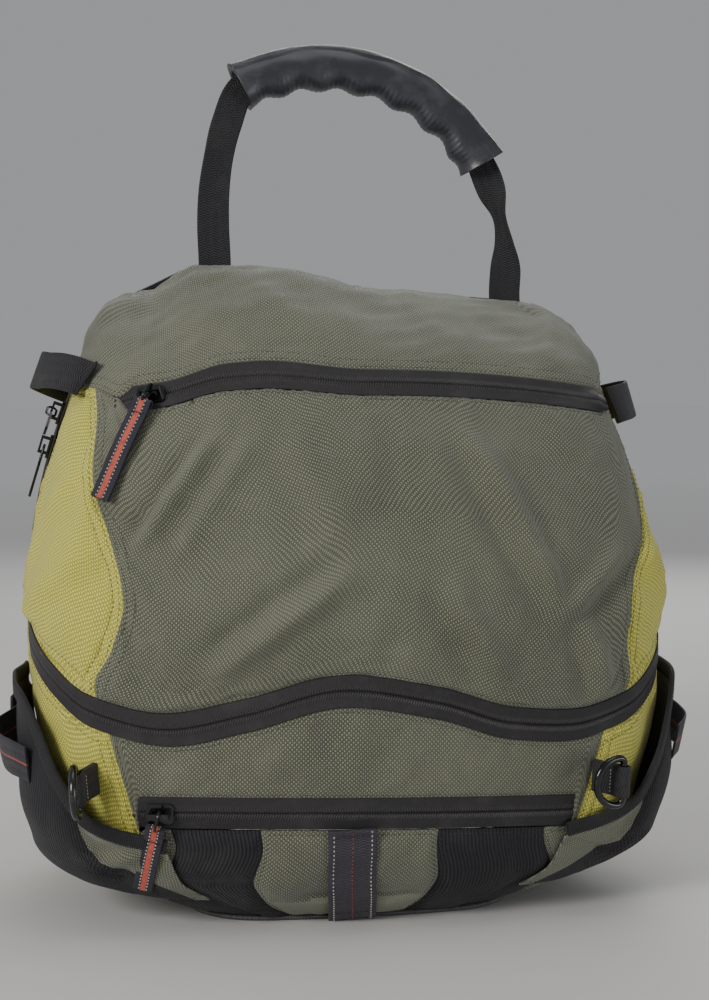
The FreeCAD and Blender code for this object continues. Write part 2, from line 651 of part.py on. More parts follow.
def d_ring_solid():
    """A D-ring: its straight bar runs along Z through the origin, and its bow reaches along +X."""
    corner = D_CORNER * (1 - math.sqrt(0.5))
    top = D_BAR_HALF + D_CORNER
    path = Part.Wire([
        Part.makeLine(Vector(0, 0, -D_BAR_HALF), Vector(0, 0, D_BAR_HALF)),
        Part.Arc(Vector(0, 0, D_BAR_HALF), Vector(corner, 0, top - corner), Vector(D_CORNER, 0, top)).toShape(),
        Part.Arc(Vector(D_CORNER, 0, top), Vector(D_CORNER + D_BOW, 0, 0), Vector(D_CORNER, 0, -top)).toShape(),
        Part.Arc(Vector(D_CORNER, 0, -top), Vector(corner, 0, corner - top), Vector(0, 0, -D_BAR_HALF)).toShape(),
    ])
    section = Part.Wire(Part.makeCircle(BAR_RADIUS, Vector(0, 0, 0), Vector(0, 0, 1)))
    return path.makePipeShell([section], True, False)


RING_TAB_REACH, RING_TAB_HEIGHT = 20.0, 20.0


def ring_tab():
    """Webbing folded round a D-ring's bar at the origin, and sewn together towards -X."""
    hole = BAR_RADIUS + 0.35
    high = RING_TAB_HEIGHT
    eye = Part.makeCylinder(hole + WEB_THICK, high, Vector(0, 0, -high / 2))
    tongue = block(-RING_TAB_REACH, 0, -WEB_THICK, WEB_THICK, -high / 2, high / 2)
    bore = Part.makeCylinder(hole, high + 2, Vector(0, 0, -high / 2 - 1))
    return eye.fuse(tongue).cut(bore).removeSplitter()


# position, height, how far the tab points sideways, and how far the ring is turned on it
D_RINGS = {"left": (-0.565, 99.0, 0.0, 28.0), "right": (0.505, 92.0, 0.6, 118.0)}


def make_d_rings():
    """Each tab leaves the seam beside the lower zip's end and points outwards."""
    for word, (t, z, sideways, turn) in D_RINGS.items():
        n = outward(t, z)
        bar = Vector(0, 0, 1)
        bar = (bar - n * bar.dot(n)).normalize()
        reach = (n + Vector(math.copysign(sideways, t), 0, 0)).normalize()
        reach = (reach - bar * reach.dot(bar)).normalize()
        pivot = offset_point(t, z, 4.5) + reach * (RING_TAB_REACH - 3.0)
        keep(f"d_ring_tab_{word}", placed(ring_tab(), pivot, reach, bar))
        turned = Rotation(bar, -turn if word == "right" else turn).multVec(reach)
        keep(f"d_ring_{word}", placed(d_ring_solid(), pivot, turned, bar))
        PIVOTS[f"d_ring_{word}"] = (pivot, bar)


LOCK_WIDE, LOCK_THICK, LOCK_BAR = 32.0, 3.6, 1.4
SLOT_HALF = 13.2


def ladder_lock():
    """A ladder lock. The webbing runs along X, the bars along Z, and the anchor bar is at the origin."""
    body = rounded(block(-1.6, 21.0, -LOCK_THICK / 2, LOCK_THICK / 2, -LOCK_WIDE / 2, LOCK_WIDE / 2), 1.4,
                   Vector(0, 1, 0))
    for x0, x1 in ((-4.0, 5.0), (7.2, 11.0), (13.0, 17.6)):
        body = body.cut(block(x0, x1, -5, 5, -SLOT_HALF, SLOT_HALF))
    bar = Part.makeCylinder(LOCK_BAR, 2 * SLOT_HALF + 1, Vector(0, 0, -SLOT_HALF - 0.5))
    tongue = block(17.8, 24.5, LOCK_THICK / 2 - 0.8, LOCK_THICK / 2 + 1.2, -11, 11)
    return body.fuse([bar, tongue]).removeSplitter()


def lock_loop(reach):
    """The short webbing loop that holds a ladder lock's anchor bar, reaching towards -X."""
    hole, high = LOCK_BAR + 0.3, WEBBING
    eye = Part.makeCylinder(hole + 1.0, high, Vector(0, 0, -high / 2)).common(block(-9, 9, -9, 9, -20, 20))
    tongue = block(-reach, 0, -1.3, 1.3, -high / 2, high / 2)
    bore = Part.makeCylinder(hole, high + 4, Vector(0, 0, -high / 2 - 2))
    return eye.fuse(tongue).cut(bore).removeSplitter()


# ---------------------------------------------------------------- compression straps on the sides
def side_arch(side, y0, y1, z0, z1, rise, stand=1.8, over=None, count=14):
    """Points and normals of a strap that arches over one side of the shell, clear of the bulge that it is over."""
    points, thins = [], []
    for i in range(count + 1):
        u = i / count
        y, z = y0 + (y1 - y0) * u, z0 + (z1 - z0) * u
        t = position_at(side, y, z)
        n = outward(t, z)
        out = stand + (over(t, z - 14) if over else 0)
        points.append(shell(t, z) + n * (out + rise * math.sin(math.pi * u) ** 0.8))
        thins.append(n)
    return points, thins


def position_at(side, y, z):
    """Position round the shell where its section at height z reaches y on one side."""
    low, high = 0.3, 1.0
    for _ in range(24):
        mid = (low + high) / 2
        if shell(side * mid, z).y < y:
            low = mid
        else:
            high = mid
    return side * low


UPPER_STRAP_RISE, LOWER_STRAP_RISE = 24.0, 7.0
LOWER_LOCK_Z = 118.0
UPPER_STRAP_DROP = 18.0      # how much lower the right upper strap is sewn


def make_side_straps():
    for side, word in ((-1, "left"), (1, "right")):
        drop = UPPER_STRAP_DROP if side > 0 else 0.0
        points, thins = side_arch(side, -28.0, 60.0, 338.0 - drop, 334.0 - drop, UPPER_STRAP_RISE)
        keep(f"upper_strap_{word}", strip_solid(points, thins, WEBBING, WEB_THICK))
        t = position_at(side, 62.0, LOWER_LOCK_Z)
        n = outward(t, LOWER_LOCK_Z)
        seat = shell(t, LOWER_LOCK_Z) + n * 6.0
        forward = Vector(side * 0.10, -1, 0)
        forward = (forward - n * forward.dot(n)).normalize() + n * 0.15
        up = n.cross(forward) * side
        lock = ladder_lock() if side < 0 else ladder_lock().mirror(Vector(), Vector(0, 1, 0))
        anchor = lock_loop(9.0)
        pieces = {f"lower_lock_{word}": lock, f"lower_lock_loop_{word}": anchor}
        for name, shape in pieces.items():
            keep(name, placed(shape, seat, forward, Vector(0, 0, 1)))
        PIVOTS[f"lower_lock_{word}"] = (seat, (Vector(0, 0, 1) - forward * Vector(0, 0, 1).dot(forward)).normalize())
        points, thins = side_arch(side, 34.0, -66.0, LOWER_LOCK_Z, 110.0, LOWER_STRAP_RISE, 5.4, pocket_bulge)
        keep(f"lower_strap_{word}", strip_solid(points, thins, WEBBING - 1.0, WEB_THICK))


# ---------------------------------------------------------------- carry handle
HANDLE_ROOTS = (Vector(-77, 57, 0), Vector(126, 57, 0))
GRIP_CENTRE = Vector(0, 57, 424)
GRIP_ARC = 126.0         # radius of the moulded grip's middle line
GRIP_ENDS = (118.0, 30.0)      # degrees from +X
GRIP_RADIUS, GRIP_WALL = 14.0, 4.0
HANDLE_CLEAR = 3.4       # height of the fold line above the shell


def root_point(root):
    height = BODY_TOP + lift(root.x, BODY_TOP)
    return Vector(root.x, root.y, height + HANDLE_CLEAR)


def on_grip(degrees, radius=GRIP_ARC):
    a = math.radians(degrees)
    return GRIP_CENTRE + Vector(math.cos(a), 0, math.sin(a)) * radius


def make_handle():
    """Two webbing strands and the run between them, with a soft moulded sleeve round the run."""
    left, right = (root_point(r) for r in HANDLE_ROOTS)
    start, end = GRIP_ENDS
    strands = (("left", left, on_grip(start + 1), -7.0, [22, 22, 21.5, 20.5, 18, 15]),
               ("right", right, on_grip(end - 1), 7.0, [22, 21, 17, 14, 16, 15]))
    for word, root, top, bow, wide in strands:
        points = [root + (top - root) * u + Vector(bow * math.sin(math.pi * u), 0, 0) for u in (0, 0.2, 0.4, 0.6, 0.8, 1)]
        keep("handle_webbing", strip_solid(points, [Vector(0, -1, 0)] * 6, wide, WEB_THICK))
    half, thin = 7.0, WEB_THICK / 2
    corners = [on_grip(start, GRIP_ARC + r) + Vector(0, y, 0)
               for r, y in ((-thin, -half), (thin, -half), (thin, half), (-thin, half))]
    section = Part.Face(Part.makePolygon(corners + corners[:1]))
    keep("handle_webbing", section.revolve(GRIP_CENTRE, Vector(0, 1, 0), start - end))
    rings = [Part.Face(Part.Wire(Part.makeCircle(r, on_grip(start), tangent_at(start))))
             for r in (GRIP_RADIUS, GRIP_RADIUS - GRIP_WALL)]
    skin, hole = (ring.revolve(GRIP_CENTRE, Vector(0, 1, 0), start - end) for ring in rings)
    keep("handle_grip", skin.cut(hole))
    PIVOTS["handle"] = (left, (right - left).normalize())


def tangent_at(degrees):
    a = math.radians(degrees)
    return Vector(math.sin(a), 0, -math.cos(a))


# ---------------------------------------------------------------- shoulder straps
def make_shoulder_straps():
    """Padded straps from the panel's top, joined by webbing and a ladder lock to its lower corners."""
    face = PANEL_Y + PANEL_THICK
    for side, word in ((-1, "left"), (1, "right")):
        path = [(40, face + 10.5, 372), (44, face + 15, 362), (52, face + 30, 338), (63, face + 44, 300),
                (76, face + 50, 255), (89, face + 48, 210), (99, face + 40, 172), (106, face + 31, 142)]
        points = [Vector(side * x, y, z) for x, y, z in path]
        thins = [Vector(0, 1, 0.9), Vector(0, 1, 0.8)] + [Vector(0, 1, 0)] * 6
        keep(f"shoulder_strap_{word}", strip_solid(points, thins, [52, 58, 62, 64, 64, 60, 54, 44], 9.0))
        low = Vector(side * 138, face + 1.6, 46)
        top = Vector(side * 109, face + 27.5, 129)
        along = (low - top).normalize()
        seat = top + along * 4
        n = Vector(0, 1, 0)
        across = along.cross(n)
        lock = ladder_lock()
        keep(f"shoulder_lock_{word}", placed(lock, seat, along, across * side))
        path = [seat + along * 34 + Vector(0, 0, 0), low + Vector(0, 4, 16), low + Vector(0, 0.6, 0),
                low + Vector(side * 3, 0.6, -12)]
        keep(f"shoulder_webbing_{word}", strip_solid(path, [Vector(0, 1, 0)] * 4, WEBBING, WEB_THICK))


make_panels()
make_main_zip()
make_back_panel()
make_arc_zip("front_zip", FRONT_ZIP, -0.53, 258.0, 76.0)
make_arc_zip("lower_zip", LOWER_ZIP, -0.56, 30.0, 56.0)
make_waist_zip()
make_main_sliders()
make_pockets()
make_front_strap()
make_d_rings()
make_side_straps()
make_handle()
make_shoulder_straps()

os.makedirs("parts", exist_ok=True)
for node, solids in NODES.items():
    shape = solids[0] if len(solids) == 1 else Part.makeCompound(solids)
    shape.exportStep(f"parts/{node}.step")
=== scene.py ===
import math
import bpy
import numpy as np
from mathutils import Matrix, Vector


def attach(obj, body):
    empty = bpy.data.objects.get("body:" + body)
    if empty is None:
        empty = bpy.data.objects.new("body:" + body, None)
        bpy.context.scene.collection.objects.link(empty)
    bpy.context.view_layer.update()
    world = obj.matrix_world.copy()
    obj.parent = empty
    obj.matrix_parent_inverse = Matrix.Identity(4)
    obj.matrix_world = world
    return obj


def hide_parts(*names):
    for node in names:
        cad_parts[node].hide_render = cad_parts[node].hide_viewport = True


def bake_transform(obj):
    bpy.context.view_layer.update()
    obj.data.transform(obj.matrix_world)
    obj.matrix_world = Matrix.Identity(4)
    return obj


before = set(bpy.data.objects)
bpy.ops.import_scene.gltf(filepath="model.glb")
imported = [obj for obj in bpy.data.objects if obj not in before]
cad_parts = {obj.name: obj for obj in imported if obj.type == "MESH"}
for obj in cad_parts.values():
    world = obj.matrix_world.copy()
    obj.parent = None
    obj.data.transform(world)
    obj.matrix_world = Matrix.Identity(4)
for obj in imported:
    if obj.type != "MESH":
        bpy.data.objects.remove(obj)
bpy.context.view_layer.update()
rng = np.random.default_rng(11)
MM = 0.001

# ---------------------------------------------------------------- the shell's shape, in millimetres
REAR_Y, BAND, PANEL_THICK, BODY_TOP = 70.0, 22.0, 12.0, 400.0
PANEL_Y = REAR_Y + BAND
CHAIN_Y = REAR_Y + BAND / 2
TAPE_HALF = 9.5
WEB, WEB_WIDE = 1.8, 25.0                     # webbing: thickness and width
THREADED, THREADED_WIDE = 1.6, 24.5           # the same where it runs through a ladder lock
CLOTH, THIN_CLOTH, POCKET_CLOTH = 2.2, 2.0, 1.3
ONE_ROW, LIME_ROWS, OLIVE_ROWS = (3.0,), (2.6, 8.5), (3.0, 8.5)      # stitch rows, from the edge
STATIONS = [
    (0.0, 95.0, 148.0, 600.0, 45.0, 0.0), (8.0, 125.0, 160.0, 580.0, 55.0, 0.0),
    (20.0, 152.0, 174.0, 560.0, 64.0, 0.0), (35.0, 175.6, 186.0, 530.0, 70.0, 0.0),
    (60.0, 185.8, 195.0, 510.0, 73.0, 0.0), (90.0, 194.3, 200.0, 500.0, 74.0, 0.0),
    (135.0, 202.4, 203.0, 480.0, 72.0, 0.0), (185.0, 205.0, 203.0, 470.0, 70.0, 0.0),
    (259.0, 196.8, 190.0, 430.0, 66.0, 0.0), (324.0, 177.0, 162.0, 400.0, 60.0, 0.0),
    (359.0, 169.0, 126.0, 380.0, 50.0, 4.0), (384.0, 158.0, 80.0, 360.0, 32.0, 4.0),
    (397.0, 140.0, 38.0, 340.0, 16.0, 7.0), (400.0, 124.0, 0.0, 330.0, 1.0, 10.0),
]
WAIST_LINE = [(-1.0, 208.0), (-0.72, 176.0), (-0.63, 157.0), (-0.55, 140.0), (-0.41, 130.0), (-0.25, 139.0),
              (-0.06, 153.0), (0.12, 144.0), (0.28, 129.0), (0.42, 125.0), (0.54, 133.0), (0.63, 149.0),
              (0.72, 166.0), (0.78, 175.0), (0.86, 184.1), (0.94, 193.2), (1.0, 200.0)]
LEFT_SEAM = [(60.0, -0.52), (125.0, -0.52), (154.0, -0.535), (178.0, -0.495), (205.0, -0.47), (242.0, -0.50),
             (284.0, -0.565), (320.0, -0.60), (334.0, -0.62)]
RIGHT_SEAM = [(60.0, 0.50), (125.0, 0.50), (150.0, 0.545), (175.0, 0.53), (212.0, 0.55), (236.0, 0.60),
              (270.0, 0.65), (320.0, 0.67), (334.0, 0.68)]
FRONT_ENDS, LOWER_ENDS = (-0.507, 0.592), (-0.495, 0.465)
SIDE_REAR, SIDE_FRONT = 356.0, 334.0
HALF_WIDTH, RIM_RADIUS, RIM_TOP, RIM_MIDDLE = 205.0, 384.0, 324.0, 180.0
PATCHES = (-0.455, -0.255, 0.15, 0.42)
POCKET_FRONT, POCKET_REAR, POCKET_FOOT, POCKET_BULGE = 0.475, 0.87, 22.0, 17.0
MOUTH = [(0.45, 52.0), (0.52, 58.0), (0.58, 70.0), (0.61, 92.0), (0.65, 124.0), (0.70, 140.0), (0.90, 146.0)]
HANDLE_ROOTS = (np.array([-77.0, 57, 0]), np.array([126.0, 57, 0]))
GRIP_CENTRE, GRIP_ARC, GRIP_ENDS = np.array([0.0, 57, 424]), 126.0, (118.0, 30.0)


def smooth(x):
    x = np.clip(x, 0.0, 1.0)
    return x * x * (3 - 2 * x)


def unit(v):
    return v / np.maximum(np.linalg.norm(v, axis=-1, keepdims=True), 1e-12)


def vec(*v):
    return np.array(v, float)


def curve(table, x, column=1):
    """Smooth monotone interpolation in a table whose first column rises."""
    rows = np.array(table, float)
    xs, ys = rows[:, 0], rows[:, column]
    h = np.diff(xs)
    d = np.diff(ys) / h
    m = np.concatenate([d[:1], np.zeros(len(xs) - 2), d[-1:]])
    for k in range(1, len(xs) - 1):
        if d[k - 1] * d[k] > 0:
            w1, w2 = 2 * h[k] + h[k - 1], h[k] + 2 * h[k - 1]
            m[k] = (w1 + w2) / (w1 / d[k - 1] + w2 / d[k])
    x = np.clip(x, xs[0], xs[-1])
    i = np.clip(np.searchsorted(xs, x, side="right") - 1, 0, len(h) - 1)
    u = (x - xs[i]) / h[i]
    return ((2 * u**3 - 3 * u**2 + 1) * ys[i] + (u**3 - 2 * u**2 + u) * m[i] * h[i]
            + (3 * u**2 - 2 * u**3) * ys[i + 1] + (u**3 - u**2) * m[i + 1] * h[i])


def lift(x, z):
    """How far the top is pulled up under the handle's left root and let down at the right."""
    pulled = 16.0 * smooth((x + 125) / 35) * (1 - smooth((x + 40) / 85))
    return (pulled - 5.0 * smooth((x - 50) / 80)) * smooth((z - 340) / 55)


def plan(z):
    """The shell's outline at a height: a front arc about (0, fy), then corner arcs about (cx, cy)."""
    half, depth, front_r, corner_r, lean = (curve(STATIONS, z, k) for k in range(1, 6))
    corner_r = np.minimum(corner_r, np.maximum(0.6 * depth, 0.01))
    turn = np.arcsin(np.minimum(0.99, (half - corner_r) / (front_r - corner_r)))
    fy = REAR_Y - depth + front_r
    cx, cy = (front_r - corner_r) * np.sin(turn), fy - (front_r - corner_r) * np.cos(turn)
    return front_r, corner_r, lean, turn, fy, cx, cy


def shell(t, z):
    """Points of the shell: t from -1, the left rear edge, round the front to 1, the right rear edge."""
    t, z = np.broadcast_arrays(np.asarray(t, float), np.asarray(z, float))
    front_r, corner_r, lean, turn, fy, cx, cy = plan(z)
    side, t = np.where(t >= 0, 1.0, -1.0), np.abs(t)
    a = turn * t / 0.5
    b = turn + (math.pi / 2 - turn) * (t - 0.5) / 0.25
    u = (t - 0.75) / 0.25
    x = np.where(t <= 0.5, front_r * np.sin(a), np.where(t <= 0.75, cx + corner_r * np.sin(b), cx + corner_r))
    y = np.where(t <= 0.5, fy - front_r * np.cos(a),
                 np.where(t <= 0.75, cy - corner_r * np.cos(b), cy + (REAR_Y - cy) * u))
    x = side * x + lean
    return np.stack([x, y, z + lift(x, z)], -1)


def outward(t, z):
    """Outward normals of the shell."""
    dt, dz = 0.004, 0.6
    along = shell(np.minimum(1, t + dt), z) - shell(np.maximum(-1, t - dt), z)
    z = np.minimum(z, BODY_TOP - 1.5)
    up = shell(t, np.minimum(BODY_TOP, z + dz)) - shell(t, np.maximum(0, z - dz))
    return unit(np.cross(along, up))


def off(t, z, out):
    """Points that stand off the shell."""
    return shell(t, z) + outward(t, z) * np.asarray(out, float)[..., None]


def waist(t):
    return curve(WAIST_LINE, t)


def seam(side, z):
    return curve(LEFT_SEAM if side < 0 else RIGHT_SEAM, z)


def turned(v, axis, degrees):
    """v turned about an axis."""
    a = np.radians(degrees)[..., None] if np.ndim(degrees) else math.radians(degrees)
    return v * np.cos(a) + np.cross(axis, v) * np.sin(a) + axis * np.sum(v * axis, -1,
                                                                         keepdims=True) * (1 - np.cos(a))


class ArcZip:
    """A zip whose chain is one circular arc."""

    def __init__(self, start, middle, end):
        a, m, b = (shell(*p) for p in (start, middle, end))
        u, v = m - a, b - a
        n = np.cross(u, v)
        self.centre = a + (np.cross(v, n) * (u @ u) + np.cross(n, u) * (v @ v)) / (2 * (n @ n))
        self.axis, self.a = unit(n), a
        ra, rb = a - self.centre, b - self.centre
        self.turn = math.degrees(math.acos((ra @ rb) / (ra @ ra)))
        self.tangent = unit(np.cross(self.axis, ra))
        normal = outward(*start)
        self.normal = unit(normal - self.tangent * (normal @ self.tangent))
        self.across = np.cross(self.normal, self.tangent)
        self.degrees = np.linspace(-0.25, 1.25, 200) * self.turn
        self.profile = self.at(self.degrees)
        self.room = TAPE_HALF * self.across[2] + 1.6

    def at(self, degrees, across=0.0, out=0.0):
        across, out = np.asarray(across)[..., None], np.asarray(out)[..., None]
        arm = self.a - self.centre + self.across * across + self.normal * out
        return self.centre + turned(arm, self.axis, np.asarray(degrees, float))

    def height(self, t):
        z = np.full(np.shape(t), self.a[2])
        for _ in range(4):
            z = np.interp(shell(t, z)[..., 0], self.profile[:, 0], self.profile[:, 2])
        return z

    def angle(self, t):
        return np.interp(shell(t, self.height(t))[..., 0], self.profile[:, 0], self.degrees)


FRONT = ArcZip((-0.47, 329.0), (0.0, 337.5), (0.555, 327.0))
LOWER = ArcZip((-0.465, 79.0), (0.0, 77.0), (0.43, 71.0))


def hump(t):
    """How far the front zip's seam is pulled up above its arc on the left."""
    return 6.5 * smooth((t + 0.455) / 0.15) * (1 - smooth((t + 0.25) / 0.26))


def seam_at(t, z):
    return np.where(np.asarray(t) < 0, np.abs(seam(-1, z)), np.abs(seam(1, z)))


def side_top(t):
    start = seam_at(t, SIDE_FRONT)
    return SIDE_FRONT + (SIDE_REAR - SIDE_FRONT) * smooth((np.abs(t) - start) / (1 - start))


def past_end(t, ends, width):
    """0 between a zip's ends, rising to 1 beyond them."""
    return smooth((ends[0] - t) / width) + smooth((t - ends[1]) / width)


def shoulder(t):
    """The seam of front panel and yoke: the front zip's middle line, run on to the side seams."""
    end = np.where(np.asarray(t) < 0, -FRONT_ENDS[0], FRONT_ENDS[1])
    u = smooth((np.abs(t) - end) / (seam_at(t, SIDE_FRONT) - end))
    return (FRONT.height(t) + hump(t)) * (1 - u) + SIDE_FRONT * u


def boot_top(t):
    """The upper edge of the boot, which drops away round the sides."""
    drop = smooth((np.abs(t) - 0.50) / 0.12)
    return (LOWER.height(t) - LOWER.room) * (1 - drop) + 30.0 * drop


def mouth(t):
    return curve(MOUTH, np.abs(t))


def pocket_bulge(t, z):
    """How far a side pocket's wall stands off the shell."""
    t = np.abs(t)
    side = smooth((t - POCKET_FRONT) / 0.20) * smooth((POCKET_REAR - t) / 0.07)
    return POCKET_BULGE * side * smooth((z - POCKET_FOOT) / 34) * (1 - 0.55 * smooth((z - 70) / 66))


def roof(x, y):
    """Height of the shell's top above a point of the plan."""

    def covers(z):
        front_r, corner_r, lean, turn, fy, cx, cy = plan(z)
        dx = np.abs(x - lean)
        corner = np.arctan2(dx - cx, cy - y) > turn
        return np.where(y >= cy, dx <= cx + corner_r,
                        np.where(corner, np.hypot(dx - cx, y - cy) <= corner_r, np.hypot(dx,
                                                                                         y - fy) <= front_r))

    low, high = np.full(np.shape(x), 200.0), np.full(np.shape(x), BODY_TOP)
    for _ in range(22):
        mid = (low + high) / 2
        inside = covers(mid)
        low, high = np.where(inside, mid, low), np.where(inside, high, mid)
    return low


def rim(side, z):
    """The shell's rear edge on one side: an arc up to RIM_TOP, and the shell's own edge above it."""
    rise = np.minimum(z, RIM_TOP) - RIM_MIDDLE
    x = HALF_WIDTH - RIM_RADIUS + np.sqrt(np.maximum(RIM_RADIUS**2 - rise**2, 1))
    p = shell(np.full(np.shape(z), float(side)), z)
    p[..., 0] = np.where(z <= RIM_TOP, side * x, p[..., 0])
    return p


def rear_edge(z_from, count=400):
    """The rear edge from the left side at z_from over the top to the right side, evenly spaced."""
    z = np.linspace(z_from, 395, 90)
    left, right = rim(-1, z), rim(1, z)
    top = shell(np.linspace(-0.5, 0.5, 60), BODY_TOP)
    line = np.concatenate([left, top, right[::-1]])
    for _ in range(6):
        line[85:155] = (line[84:154] + 2 * line[85:155] + line[86:156]) / 4
    return resample(line, count)


def run(line):
    """Length along a line up to each of its points."""
    return np.concatenate([[0], np.cumsum(np.linalg.norm(np.diff(line, axis=0), axis=1))])


def resample(line, count):
    """The same line with evenly spaced points."""
    s = run(line)
    u = np.linspace(0, s[-1], count)
    return np.stack([np.interp(u, s, line[:, k]) for k in range(line.shape[1])], -1)


def waves(x, y, scale, seed, terms=9):
    """Smooth random undulation of about unit height."""
    r = np.random.default_rng(seed)
    total = np.zeros(np.broadcast(x, y).shape)
    for _ in range(terms):
        k, a, p = r.uniform(0.5, 1.6) / scale, r.uniform(0, math.tau), r.uniform(0, math.tau)
        total = total + np.sin(math.tau * k * (x * math.cos(a) + y * math.sin(a)) + p)
    return total / math.sqrt(terms)


# ---------------------------------------------------------------- materials
class Shader:
    """A small helper round one material's node tree."""

    def __init__(self, name, rough=0.8, **fixed):
        self.material = bpy.data.materials.new(name)
        self.material.use_nodes = True
        self.tree = self.material.node_tree
        self.bsdf = self.tree.nodes["Principled BSDF"]
        self.bsdf.inputs["Roughness"].default_value = rough
        for key, value in fixed.items():
            self.bsdf.inputs[key.replace("_", " ")].default_value = value

    def node(self, kind, **settings):
        made = self.tree.nodes.new("ShaderNode" + kind)
        for key, value in settings.items():
            setattr(made, key, value)
        return made

    def put(self, socket, value):
        if isinstance(value, bpy.types.NodeSocket):
            self.tree.links.new(value, socket)
        elif value is not None:
            socket.default_value = value

    def math(self, operation, a, b=None, c=None):
        made = self.node("Math", operation=operation)
        for socket, value in zip(made.inputs, (a, b, c)):
            self.put(socket, value)
        return made.outputs[0]

    def add(self, a, b):
        return self.math("ADD", a, b)

    def times(self, a, b):
        return self.math("MULTIPLY", a, b)

    def ribs(self, value, pitch):
        """Rounded ribs across a coordinate, from 0 between them to 1 on their crowns."""
        return self.math("ABSOLUTE", self.math("SINE", self.times(value, math.pi / pitch)))

    def uv(self):
        split = self.node("SeparateXYZ")
        self.tree.links.new(self.node("UVMap").outputs["UV"], split.inputs[0])
        return split.outputs[0], split.outputs[1]

    def noise(self, scale, detail=3.0, rough=0.55, stretch=(1, 1, 1), uv=False):
        mapping = self.node("Mapping")
        mapping.inputs["Scale"].default_value = stretch
        source = self.node("UVMap").outputs["UV"] if uv else self.node("TexCoord").outputs["Object"]
        self.tree.links.new(source, mapping.inputs[0])
        made = self.node("TexNoise")
        self.tree.links.new(mapping.outputs[0], made.inputs["Vector"])
        made.inputs["Scale"].default_value = scale
        made.inputs["Detail"].default_value = detail
        made.inputs["Roughness"].default_value = rough
        return made.outputs["Fac"]

    def ramp(self, value, low, high, out_low=0.0, out_high=1.0):
        made = self.node("MapRange")
        for socket, item in zip(made.inputs, (value, low, high, out_low, out_high)):
            self.put(socket, item)
        return made.outputs[0]

    def mix(self, factor, a, b):
        made = self.node("Mix", data_type="RGBA")
        self.put(made.inputs[0], factor)
        self.put(made.inputs[6], (*a, 1.0) if isinstance(a, tuple) else a)
        self.put(made.inputs[7], (*b, 1.0) if isinstance(b, tuple) else b)
        return made.outputs[2]

    def finish(self, colour, height=None, depth=0.0003, strength=1.0, rough=None):
        self.put(self.bsdf.inputs["Base Color"], colour)
        if rough is not None:
            self.put(self.bsdf.inputs["Roughness"], rough)
        if height is not None:
            bump = self.node("Bump")
            bump.inputs["Distance"].default_value = depth
            bump.inputs["Strength"].default_value = strength
            self.tree.links.new(height, bump.inputs["Height"])
            self.tree.links.new(bump.outputs[0], self.bsdf.inputs["Normal"])
        return self.material

    def weave(self, pitch, turn=0.0):
        """Height of a plain weave: threads that pass over and under each other, and a colour mask of painted highlight
        and shade: over-thread crowns light, under threads and the gaps between threads dark.
        """
        u, v = self.uv()
        if turn:
            c, s = math.cos(turn), math.sin(turn)
            u, v = (self.add(self.times(u, c), self.times(v, s)),
                    self.math("SUBTRACT", self.times(v, c), self.times(u, s)))
        u, v = self.math("DIVIDE", u, pitch), self.math("DIVIDE", v, pitch)
        hump = [self.math("ABSOLUTE", self.math("SINE", self.times(q, math.pi))) for q in (u, v)]
        cells = self.add(self.math("FLOOR", u), self.math("FLOOR", v))
        over = self.math("ABSOLUTE", self.math("MODULO", cells, 2.0))
        a = self.times(hump[0], self.ramp(hump[1], 0.0, 1.0, 0.45, 1.0))
        b = self.times(hump[1], self.ramp(hump[0], 0.0, 1.0, 0.45, 1.0))
        under = self.math("SUBTRACT", 1.0, over)
        height = self.add(self.times(a, over), self.times(b, under))
        # painted highlight and shade: over-thread crowns light, under threads dimmer, gaps between threads dark
        crown_light_and_shade = self.add(self.times(a, over), self.times(self.times(b, under), 0.30))
        return height, crown_light_and_shade


def cloth_material(name, light, dark, pitch=0.0013, depth=0.00028, rough=0.82, sheen=0.25, dust=0.10,
                   turn=0.0):
    """Coarse woven nylon: thread relief, thread crowns painted paler and gaps between threads painted darker as
    painted highlight and shade, uneven dye and a little dust.
    """
    s = Shader(name, rough, Sheen_Weight=sheen, Sheen_Roughness=0.5, Specular_IOR_Level=0.35)
    height, crown_light_and_shade = s.weave(pitch, turn)
    fibre = s.noise(900.0, 2.0, 0.6)
    # painted highlight and shade from the weave relief, mixed with random fibre tone: dark is the shaded colour, light
    # the lit one
    relief_shade_and_tone = s.add(s.times(crown_light_and_shade, 0.85), s.times(fibre, 0.3))
    colour = s.mix(s.ramp(relief_shade_and_tone, 0.2, 0.85), dark, light)
    patch = s.ramp(s.noise(9.0, 4.0, 0.6), 0.35, 0.75)
    faded = tuple(min(1.0, c * 1.18 + 0.012) for c in light)
    colour = s.mix(s.times(patch, dust * 2.2), colour, faded)
    rub = s.times(s.ramp(s.noise(38.0, 5.0, 0.7), 0.55, 0.8), dust)
    colour = s.mix(rub, colour, (0.34, 0.32, 0.27))
    return s.finish(colour, s.add(height, s.times(fibre, 0.35)), depth, 0.9,
                    s.ramp(patch, 0.0, 1.0, rough - 0.05, rough + 0.08))


def ribbed_material(name, light, dark, pitch=0.0024, across=True, depth=0.0006, rough=0.75, dust=0.06):
    """Ribbed stretch fabric: round ribs with fine rows across them, the rib crowns painted paler and the furrows
    darker as painted highlight and shade.
    """
    s = Shader(name, rough, Sheen_Weight=0.08, Sheen_Roughness=0.45, Specular_IOR_Level=0.25)
    u, v = s.uv()
    rib = s.ribs(u if across else v, pitch)
    row = s.ribs(v if across else u, (pitch * 0.42))
    height = s.add(rib, s.times(row, 0.22))
    # painted highlight and shade from the rib relief, mixed with random tone
    relief_shade_and_tone = s.add(s.times(height, 0.6), s.times(s.noise(500.0, 3.0, 0.6), 0.4))
    colour = s.mix(s.ramp(relief_shade_and_tone, 0.2, 1.0), dark, light)
    rub = s.times(s.ramp(s.noise(30.0, 5.0, 0.65), 0.5, 0.8), dust)
    return s.finish(s.mix(rub, colour, (0.30, 0.28, 0.25)), height, depth, 0.9)


